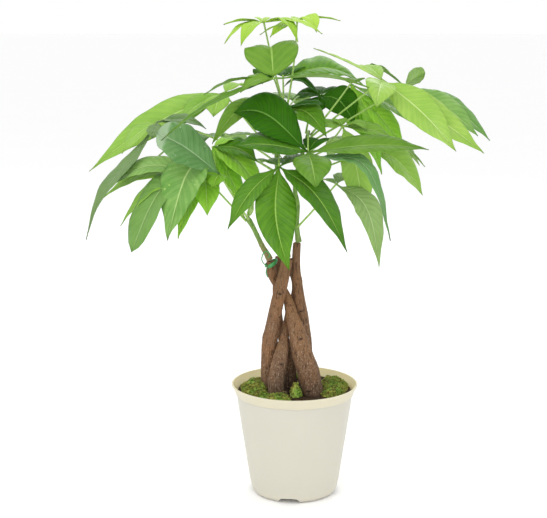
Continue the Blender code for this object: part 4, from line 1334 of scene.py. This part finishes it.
LEAVES = (
    Leaf("leaf_top_left", Tone.YOUNG, "shoot_centre", 463, 110, (0, 8, -4), (-36, -5, 556), (
        Leaflet((-45, -8, -3), 3, 18, 6),
        Leaflet((-44, -15, -24), 9, 16, -5),
        Leaflet((-25, -42, -26), 10, 20),
        Leaflet((65, -36, -13), 8, 16, 6),
        Leaflet((38, -42, -22), 14, 18, bow=4),
        Leaflet((-3, 50, 2), 2, 18))),
    Leaf("leaf_top_right", Tone.YOUNG, "shoot_centre", 463, 10, (2, 8, 0), (2, 10, 558), (
        Leaflet((49, -5, -1), 3, 14, -5, widest=0.4),
        Leaflet((21, -28, -14), 10, 20, 15, bow=3),
        Leaflet((-31, -40, -19), 4, 14, -12),
        Leaflet((-43, 5, -17), 3, 10),
        Leaflet((4, 45, 1), 1, 18))),
    Leaf("leaf_crown_front", Tone.MID, "shoot_centre", 465.5, 185, (-1, 6, 5), (-25, -70, 496), (
        Leaflet((-5, 62, 15), 24, 60, -8, widest=0.36),
        Leaflet((-77, 20, -19), 8, 14, 11),
        Leaflet((-123, -8, -67), 10, 18, -14, widest=0.4),
        Leaflet((104, -2, -10), 7, 34, -6),
        Leaflet((-36, -5, -15), 6, 28, -20))),
    Leaf("leaf_crown_back", Tone.DARK, "shoot_centre", 455, 80, (0, 0, 0), (-14, 25, 494), (
        Leaflet((96, 35, -13), 15, 52, 22, tone=Tone.BRIGHT),
        Leaflet((30, 35, 10), 2, 24),
        Leaflet((-25, 80, -14), 10, 44))),
    Leaf("leaf_right_pale", Tone.LIME, "shoot_right", 423, -60, (-6, 0, -4), (97, -30, 492), (
        Leaflet((-77, 10, 35), 2, 13, -8, widest=0.35),
        Leaflet((114, -10, -81), 2, 42, 42, widest=0.42),
        Leaflet((79, -35, -76), 6, 44, 42, widest=0.42),
        Leaflet((-11, -54, -27), 6, 36, -20, widest=0.38),
        Leaflet((-22, 55, 13), 5, 26))),
    Leaf("leaf_right_outer", Tone.MID, "shoot_right", 418, 0, (0, -20, 2), (126, 15, 483), (
        Leaflet((102, 10, -64), 11, 38, 32, widest=0.55, tone=Tone.GLOSSY),
        Leaflet((83, -20, -56), 7, 36, 36, tone=Tone.GLOSSY),
        Leaflet((24, 4, 15), 2, 22, -64, widest=0.56, taper=-0.3),
        Leaflet((-43, 30, 19), 6, 30, 22))),
    Leaf("leaf_right_olive", Tone.MID, "shoot_right", 428, -15, (0, -24, 2), (64, 22, 485), (
        Leaflet((96, -17, -55), 3, 30, 26, tone=Tone.GLOSSY),
        Leaflet((61, -17, -70), 2, 34, 32, widest=0.6, tone=Tone.PAINTED_LIGHT),
        Leaflet((37, -12, -104), 2, 34, 10, widest=0.6, tone=Tone.PAINTED_LIGHT),
        Leaflet((19, -12, -64), 2, 40, 50, tone=Tone.PAINTED_LIGHT),
        Leaflet((8, 18, 2), 3, 28))),
    Leaf("leaf_right_low", Tone.MID, "shoot_right", 382, 30, (0, 4, -4), (91, 40, 411), (
        Leaflet((61, -5, -58), 12, 46, 30, tone=Tone.PALE),
        Leaflet((33, 30, 14), 10, 34, 10),
        Leaflet((-30, 4, -3), 5, 26))),
    Leaf("leaf_right_hanging", Tone.PALE, "shoot_right", 404, -50, (4, -2, -4), (53, -22, 440), (
        Leaflet((24, 4, -92), 12, 40, 75, bow=-4, widest=0.6, taper=-0.1),
        Leaflet((28, -14, -3), 6, 20, 10),
        Leaflet((-30, -12, -2), 4, 26, -20),
        Leaflet((57, -4, -14), 4, 28, 24),
        Leaflet((-6, 6, 6), 3, 22))),
    Leaf("leaf_centre_dark", Tone.DARK, "shoot_right", 430, -100, (0, -4, 10), (13, -60, 415), (
        Leaflet((-82, 10, 42), 17, 56, -46),
        Leaflet((-79, -30, 10), 4, 44, -28, widest=0.45, tone=Tone.LEAFY),
        Leaflet((133, -5, 3), 6, 38, 26, widest=0.45, tone=Tone.MID),
        Leaflet((89, -40, -93), 44, 23, 20, bow=16, skew=1.5, folds=0.8, tone=Tone.SHEEN),
        Leaflet((7, -62, -32), 6, 42, tone=Tone.MID),
        Leaflet((18, 34, 8), 6, 30))),
    Leaf("leaf_centre_front", Tone.LEAFY, "shoot_centre", 424, -95, (0, -4, 8), (-19, -85, 402), (
        Leaflet((11, -45, -107), 8, 46, bow=-10, widest=0.45),
        Leaflet((73, -40, -88), 19, 44, 14, widest=0.45),
        Leaflet((-55, -35, -64), 10, 30, -20),
        Leaflet((-19, 45, -1), 4, 30),
        Leaflet((44, 50, 1), 6, 34))),
    Leaf("leaf_left_bluish", Tone.BLUISH, "shoot_left", 331, -85, (0, -6, 0), (-84, -66, 390.5), (
        Leaflet((-69, -5, 46), 5, 52, -48, widest=0.58, taper=-0.3, folds=0.9),
        Leaflet((-7, -16, -13), 4, 26, tone=Tone.BRIGHT))),
    Leaf("leaf_left_inner", Tone.PAINTED_LIGHT, "shoot_left", 330, 160, (0, 0, 0), (-94, -20, 416), (
        Leaflet((51, -8, -16), 8, 36, 26, tone=Tone.BRIGHT),
        Leaflet((57, -20, -56), 14, 44, 20, widest=0.45),
        Leaflet((33, -24, -62), 6, 34, widest=0.55),
        Leaflet((6, -24, -45), 6, 30),
        Leaflet((28, 20, 8), 2, 24))),
    Leaf("leaf_left_front", Tone.BRIGHT, "shoot_left", 329.5, 222, (0, -4, 0), (-102, -40, 385), (
        Leaflet((-40, -45, -65), 36, 60, -6, widest=0.46, skew=0.84, taper=0.2, folds=1.2, tone=Tone.GLOSSY),
        Leaflet((-30, -20, -68), 10, 30, -10, tone=Tone.PAINTED_LIGHT),
        Leaflet((4, -35, -39), 8, 30, tone=Tone.PAINTED_LIGHT),
        Leaflet((-111, 10, -15), 20, 32, -30, tone=Tone.GLOSSY),
        Leaflet((-120, 26, -29), 18, 28, -30, tone=Tone.PALE),
        Leaflet((-82, -20, -83), 36, 42, -30, widest=0.66, taper=-0.35, folds=0.5, tone=Tone.DROOP),
        Leaflet((-97, 4, -57), 22, 32, -24, tone=Tone.PALE))),
    Leaf("leaf_left_far", Tone.GREYED, "shoot_centre", 386, 175, (-10, 8, 12), (-157, -10, 444), (
        Leaflet((-78, -48, -128), 19, 23, -12, bow=-3, skew=2.4),
        Leaflet((-41, -5, -36), 6, 26, -30, tone=Tone.PALE),
        Leaflet((55, 10, -9), 7, 24, 22),
        Leaflet((-4, -30, -16), 0, 18),
        Leaflet((20, -10, 0), 2, 12))),
    Leaf("leaf_left_upper", Tone.PALE, "shoot_centre", 406, 150, (-4, 4, 4), (-83, 35, 474), (
        Leaflet((-157, -20, -90), 11, 44, -46, widest=0.37, taper=0.5),
        Leaflet((-50, -22, -31), 5, 28, -30),
        Leaflet((-11, -30, -26), 6, 32, widest=0.6),
        Leaflet((25, 30, 4), 6, 30))),
    Leaf("leaf_crown_middle", Tone.DARK, "shoot_centre", 446, -60, (0, -2, 0), (-12, -16, 460), (
        Leaflet((-81, -40, -37), 24, 26, -34, widest=0.6, tone=Tone.MID),
        Leaflet((-46, 4, 2), 6, 26, -15),
        Leaflet((46, -35, -30), 12, 38, 25, widest=0.4, tone=Tone.LEAFY),
        Leaflet((45, -20, 5), 3, 20, 15))),
    Leaf("leaf_crown_right", Tone.DARK, "shoot_right", 429, 130, (-3, 0, 0), (29, 18, 472), (
        Leaflet((-42, 8, 10), 12, 26, -10),
        Leaflet((-27, -8, -3), 1, 16, -10),
        Leaflet((39, -18, -32), 12, 46, 34),
        Leaflet((-8, -14, -23), 3, 34),
        Leaflet((-32, 22, -6), 6, 28, -20),
        Leaflet((13, 45, 1), 6, 26))),
    Leaf("leaf_right_slender", Tone.GREY, "shoot_right", 322, -75, (0, -4, 0), (46, -35, 376), (
        Leaflet((47, -35, -90), 24, 38, 14, bow=12),
        Leaflet((-15, 20, 2), 2, 16),
        Leaflet((21, 50, 0), 6, 26))),
    Leaf("leaf_back_left", Tone.MID, "shoot_centre", 396, 110, (0, 0, 4), (-84, 84, 420),
         fan(130, (84, 98, 104, 92, 76), 0.40, 36, 48)),
    Leaf("leaf_back_right", Tone.MID, "shoot_right", 394, 75, (0, 0, 4), (80, 90, 414),
         fan(72, (80, 94, 102, 94, 80), 0.40, 36, 40)),
    Leaf("leaf_back_upper", Tone.MID, "shoot_centre", 440, 70, (0, 0, 4), (1, 92, 462),
         fan(84, (64, 86, 96, 84, 68), 0.23, 34, 50)),
)


@dataclass
class Crown:
    """The three shoots, all leaves and the bud."""

    bud_line: tuple[Row, ...] = (
        (-54.6, -6.6, 334.6, 1.4), (-53.0, -7.2, 338, 3.0), (-51, -7.5, 343, 3.4), (-50, -7.2, 349, 2.6),
        (-48.5, -7.0, 355, 0.8))

    def build_bud(self) -> None:
        """Folded leaflets round one another on the tip of the left shoot."""
        path = smooth_path(places(self.bud_line), 0.6 * MM)
        sculpt = Sculpt("bud_folded")

        def folds(run: float, angle: float) -> float:
            """Factor on the radius that makes three overlapping folds."""
            return 0.93 + 0.11 * abs(math.sin(1.5 * angle + 260.0 * run)) - 0.03 * math.cos(5.0 * angle)

        sculpt.tube(path, 36, folds)
        sculpt.piece([BudFinish().material()], "bud_left", 70.0)

    def build(self) -> None:
        """Build shoots, leaves and bud."""
        green = StalkFinish("shoot", paint("7FA243"), paint("567E2C"), paint("86724E"),
                            woody_below=292.0 * MM).material()
        for shoot in SHOOTS.values():
            shoot.build(green)
        skins = {tone.name: tone.value.material() for tone in Tone}
        stalk = StalkFinish("stalk", paint("A9C86A"), paint("84AC48"), paint("9A7A58")).material()
        for leaf in LEAVES:
            leaf.build(skins, stalk)
        self.build_bud()


# ---------------------------------------------------------------- soil, moss and small things

@dataclass
class Ground:
    """Soil crumbs, five moss cushions and a dry blade of grass."""

    top: float = 125.0 * MM
    gap: float = 0.3 * MM
    rim_reach: float = 63.0 * MM
    crumbs: int = 420
    cushion_rings: int = 7
    cushion_sides: int = 40
    tuft_area: float = 3.2                  # square millimetres of cushion for each tuft
    cushions: tuple[tuple[str, float, float, float, float, float, float], ...] = (
        # name, middle x, y, half sizes x, y, turn in degrees, height
        ("moss_left", -45, -5, 17.5, 37, 5, 13),
        ("moss_right", 45, 0, 17.5, 37, -4, 14),
        ("moss_front", -20, -47, 16, 11, 8, 9),
        ("moss_middle", 1, -29, 7.5, 8, 0, 18),
        ("moss_back", 2, 52, 26, 8.5, 2, 3.4),
    )

    def stems_at(self, height: float) -> list[tuple[float, float, float]]:
        """Middle and radius of each stem at a height, in metres."""
        found = []
        for stem in Trunk().stems:
            path = smooth_path(places(stem.line), 4.0 * MM)
            place, radius = min(path, key=lambda point: abs(point[0].z - height))
            found.append((place.x, place.y, radius))
        return found

    def cushion_spot(self, cushion: tuple, share: float, angle: float) -> Vector:
        """A point of a cushion's top skin at a share of its radius and an angle."""
        _, x, y, half_x, half_y, turn, height = cushion
        lean = math.radians(turn)
        ragged = 1.0 + 0.07 * math.sin(3.0 * angle + x) + 0.05 * math.sin(7.0 * angle + y)
        across = half_x * share * ragged * math.cos(angle)
        deep = half_y * share * ragged * math.sin(angle)
        lump = 0.86 + 0.14 * math.sin(9.0 * share + 4.0 * angle)
        rise = 0.8 + height * lump * (1.0 - share ** 2.5) * 0.86
        spot = mm(x + across * math.cos(lean) - deep * math.sin(lean),
                  y + across * math.sin(lean) + deep * math.cos(lean), rise)
        return spot + Vector((0.0, 0.0, self.top + self.gap))

    def tuft(self, sculpt: Sculpt, foot: Vector, size: float, chance: random.Random) -> None:
        """A spray of tiny pointed moss leaves.

        Args:
            sculpt: mesh to add to.
            foot: where they spring from.
            size: length of a leaf, in metres.
            chance: source of their directions.
        """
        tint = chance.random()
        turn = chance.uniform(0.0, FULL_TURN)
        count = chance.randint(6, 8)
        for index in range(count):
            angle = turn + FULL_TURN * index / count + chance.uniform(-0.3, 0.3)
            lean = chance.uniform(0.25, 1.15)
            out = polar(math.sin(lean), angle, math.cos(lean))
            side = Vector((-math.sin(angle), math.cos(angle), 0.0)) * (0.17 * size)
            droop = Vector((0.0, 0.0, -0.22 * size))
            low = sculpt.point(foot - side * 0.5, tint=tint * 0.8)
            low_other = sculpt.point(foot + side * 0.5, tint=tint * 0.8)
            middle = sculpt.point(foot + out * (0.55 * size) - side, tint=tint)
            middle_other = sculpt.point(foot + out * (0.55 * size) + side, tint=tint)
            tip = sculpt.point(foot + out * size + droop, tint=min(tint + 0.1, 1.0))
            sculpt.face((low, low_other, middle_other, middle))
            sculpt.face((middle, middle_other, tip))

    def build_cushion(self, cushion: tuple, moss: bpy.types.Material) -> None:
        """A lumpy mat with a fur of tufts, kept clear of the stems."""
        name, _, _, half_x, half_y, _, height = cushion
        chance = random.Random(name)
        sculpt = Sculpt(name + "_tufts")
        sculpt.value_layer("tint")
        stems = self.stems_at(self.top + 4.0 * MM)
        rings = []
        for ring in range(1, self.cushion_rings + 1):
            line = []
            for step in range(self.cushion_sides):
                angle = math.tau * step / self.cushion_sides
                spot = self.cushion_spot(cushion, ring / self.cushion_rings, angle)
                spot.z -= 0.7 * MM
                line.append(sculpt.point(self.clear(spot, stems), tint=chance.uniform(0.0, 0.3)))
            rings.append(line)
        crown = sculpt.point(self.cushion_spot(cushion, 0.0, 0.0), tint=0.2)
        for step in range(self.cushion_sides):
            following = (step + 1) % self.cushion_sides
            sculpt.face((crown, rings[0][step], rings[0][following]))
            for inner, outer in zip(rings[:-1], rings[1:]):
                sculpt.face((inner[step], outer[step], outer[following], inner[following]))
        for _ in range(int(math.pi * half_x * half_y / self.tuft_area)):
            share = math.sqrt(chance.random())
            angle = chance.uniform(0.0, FULL_TURN)
            spot = self.cushion_spot(cushion, share, angle)
            spot.z -= 0.6 * MM
            if all(math.hypot(spot.x - x, spot.y - y) > radius + 0.6 * MM for x, y, radius in stems):
                self.tuft(sculpt, spot, chance.uniform(1.8, 3.5) * MM, chance)
        sculpt.piece([moss], name)

    @staticmethod
    def clear(spot: Vector, stems: Sequence[tuple[float, float, float]]) -> Vector:
        """Push a point out of any stem it would lie in."""
        for x, y, radius in stems:
            away = Vector((spot.x - x, spot.y - y, 0.0))
            if away.length < radius + 0.3 * MM:
                away = away.normalized() * (radius + 0.3 * MM)
                spot = Vector((x + away.x, y + away.y, spot.z - 0.6 * MM))
        return spot

    def build_crumbs(self, grit: bpy.types.Material) -> None:
        """Small angular crumbs scattered over the soil."""
        chance = random.Random("crumbs")
        sculpt = Sculpt("soil_crumbs")
        stems = self.stems_at(self.top)
        for _ in range(self.crumbs):
            reach = self.rim_reach * math.sqrt(chance.uniform(0.0, 1.0))
            angle = chance.uniform(0.0, FULL_TURN)
            size = chance.uniform(0.5, 1.5) * MM
            middle = polar(reach, angle, self.top + 0.45 * size)
            if any(math.hypot(middle.x - x, middle.y - y) < radius + size for x, y, radius in stems):
                continue
            made = bmesh.ops.create_icosphere(sculpt.shape, subdivisions=1, radius=size)["verts"]
            for vert in made:
                vert.co = Vector((vert.co.x, vert.co.y, vert.co.z * 0.7)) * chance.uniform(0.65, 1.1) + middle
        sculpt.loose([grit])

    def build_fibre(self) -> None:
        """The dry blade of grass on the front cushion."""
        path = smooth_path([(mm(-16.0, -46.0, 135.0), 0.5 * MM), (mm(-12.5, -48.5, 136.2), 0.55 * MM),
                            (mm(-9.0, -51.0, 136.4), 0.5 * MM)], 0.5 * MM)
        path = [(place, radius * (1.0 - 0.6 * ease(0.6, 1.0, index / len(path))))
                for index, (place, radius) in enumerate(path)]
        sculpt = Sculpt("grass_blade")
        sculpt.tube(path, 10, None, 0, 0.4)
        sculpt.piece([StrawFinish().material()], "grass_fibre")

    def build(self) -> None:
        """Dress the soil and build crumbs, cushions and grass."""
        grit = SoilFinish().material()
        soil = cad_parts["soil"]
        soil.data.materials.clear()
        soil.data.materials.append(grit)
        self.build_crumbs(grit)
        moss = MossFinish().material()
        for cushion in self.cushions:
            self.build_cushion(cushion, moss)
        self.build_fibre()


@dataclass
class TwistTie:
    """Coated wire: a flat band turned once round the left stem top, a tail and an end that curls up."""

    wire: float = 0.65 * MM
    band: float = 2.2 * MM                  # half width of the band
    thin: float = 0.24                      # its thickness as a share of its width
    centre: tuple[float, float, float] = (-27.8, 4.0, 277.0)
    loop: float = 7.1 * MM
    pitch: float = 3.0 * MM
    tilt: float = 0.55
    start: float = -128.0                   # degrees
    sweep: float = 350.0                    # degrees
    steps: int = 70
    wire_step: float = 0.8 * MM
    tail: tuple[tuple[float, float, float], ...] = (
        (-31.6, -9.0, 263.0), (-33.6, -7.5, 268.0), (-32.6, -3.0, 273.0))
    curl: tuple[tuple[float, float, float], ...] = (
        (-32.4, -2.2, 276.5), (-36.0, -7.0, 278.5), (-38.6, -9.0, 284.0), (-37.0, -9.6, 291.0),
        (-32.6, -9.4, 294.0), (-29.4, -9.0, 290.0), (-31.4, -8.4, 286.0))

    def turn(self) -> list[PathPoint]:
        """Centre line of the band."""
        points = []
        for index in range(self.steps):
            share = index / (self.steps - 1)
            out = polar(self.loop, math.radians(self.start + self.sweep * share))
            rise = Vector((0.0, 0.0, self.tilt * out.x + self.pitch * (share - 0.5)))
            narrow = ease(0.0, 0.06, share) * ease(1.0, 0.94, share)
            points.append((mm(*self.centre) + out + rise, self.wire + (self.band - self.wire) * narrow))
        return points

    def build(self) -> None:
        """Build the tie."""
        sculpt = Sculpt("twist_tie_coated")
        sculpt.tube(self.turn(), 16, None, 0, self.thin, Vector((0.0, 0.0, 1.0)))
        for line in (self.tail, self.curl):
            sculpt.tube(smooth_path([(mm(*place), self.wire) for place in line], self.wire_step), 12)
        sculpt.piece([TieFinish().material()], "twist_tie", 60.0)


# ---------------------------------------------------------------- studio

@dataclass
class Studio:
    """Camera, pale floor and soft light."""

    camera_place: tuple[float, float, float] = (-0.025, -1.483, 0.5685)
    pitch: float = 10.9
    lens: float = 85.0
    sensor: float = 36.0
    aim: tuple[float, float, float] = (0.0, 0.0, 0.35)
    floor_size: float = 30.0
    floor_dull: Colour = (0.965, 0.965, 0.965)
    floor_light: Colour = (0.985, 0.985, 0.985)
    sky: Colour = (1.0, 1.0, 1.0)
    sky_strength: float = 1.0
    lamps: tuple[tuple[str, tuple[float, float, float], float, float], ...] = (
        # name, place, size, power
        ("key", (-1.1, -1.2, 1.9), 1.3, 12.0),
        ("front", (0.1, -2.3, 0.9), 1.8, 11.0),
        ("fill", (1.5, -1.4, 1.0), 1.6, 3.0),
        ("back", (0.4, 1.6, 1.7), 1.4, 12.0),
    )

    def build_camera(self) -> None:
        """A long lens a little above the crown, tilted down."""
        data = bpy.data.cameras.new("view")
        data.lens = self.lens
        data.sensor_width = self.sensor
        camera = bpy.data.objects.new("view", data)
        camera.location = self.camera_place
        camera.rotation_euler = (math.radians(90.0 - self.pitch), 0.0, 0.0)
        bpy.context.collection.objects.link(camera)
        bpy.context.scene.camera = camera

    def build_floor(self) -> None:
        """A wide pale floor."""
        graph = Graph("studio_floor")
        cloud = graph.noise(graph.place(), 3.0, 2.0)
        material = graph.finish(Base_Color=graph.mix(cloud, self.floor_dull, self.floor_light), Roughness=0.7)
        shape = bmesh.new()
        bmesh.ops.create_grid(shape, x_segments=8, y_segments=8, size=self.floor_size)
        mesh = bpy.data.meshes.new("studio_floor")
        shape.to_mesh(mesh)
        shape.free()
        mesh.materials.append(material)
        floor = bpy.data.objects.new("studio_floor", mesh)
        bpy.context.collection.objects.link(floor)

    def build_lamp(self, name: str, place: Sequence[float], size: float, power: float) -> None:
        """A square soft lamp aimed at the middle of the plant."""
        data = bpy.data.lights.new(name, "AREA")
        data.shape = "SQUARE"
        data.size = size
        data.energy = power
        lamp = bpy.data.objects.new(name, data)
        lamp.location = place
        lamp.rotation_euler = (Vector(self.aim) - Vector(place)).to_track_quat("-Z", "Y").to_euler()
        bpy.context.collection.objects.link(lamp)

    def build(self) -> None:
        """Set up the studio."""
        self.build_camera()
        self.build_floor()
        for name, place, size, power in self.lamps:
            self.build_lamp(name, place, size, power)
        self.build_sky()

    def build_sky(self) -> None:
        """Even white light from all round."""
        world = bpy.data.worlds.new("studio_sky")
        bpy.context.scene.world = world
        world.use_nodes = True
        sky = world.node_tree.nodes["Background"]
        sky.inputs["Color"].default_value = (*self.sky, 1.0)
        sky.inputs["Strength"].default_value = self.sky_strength
        bpy.context.scene.view_settings.view_transform = "Standard"


def main() -> None:
    """Build the studio and every part of the plant."""
    logging.basicConfig(level=logging.INFO, format="%(message)s")
    Studio().build()
    for part in (Pot(), Ground(), Trunk(), Crown(), TwistTie()):
        part.build()
        LOG.info("%s done", type(part).__name__)


if __name__ == "__main__":
    main()
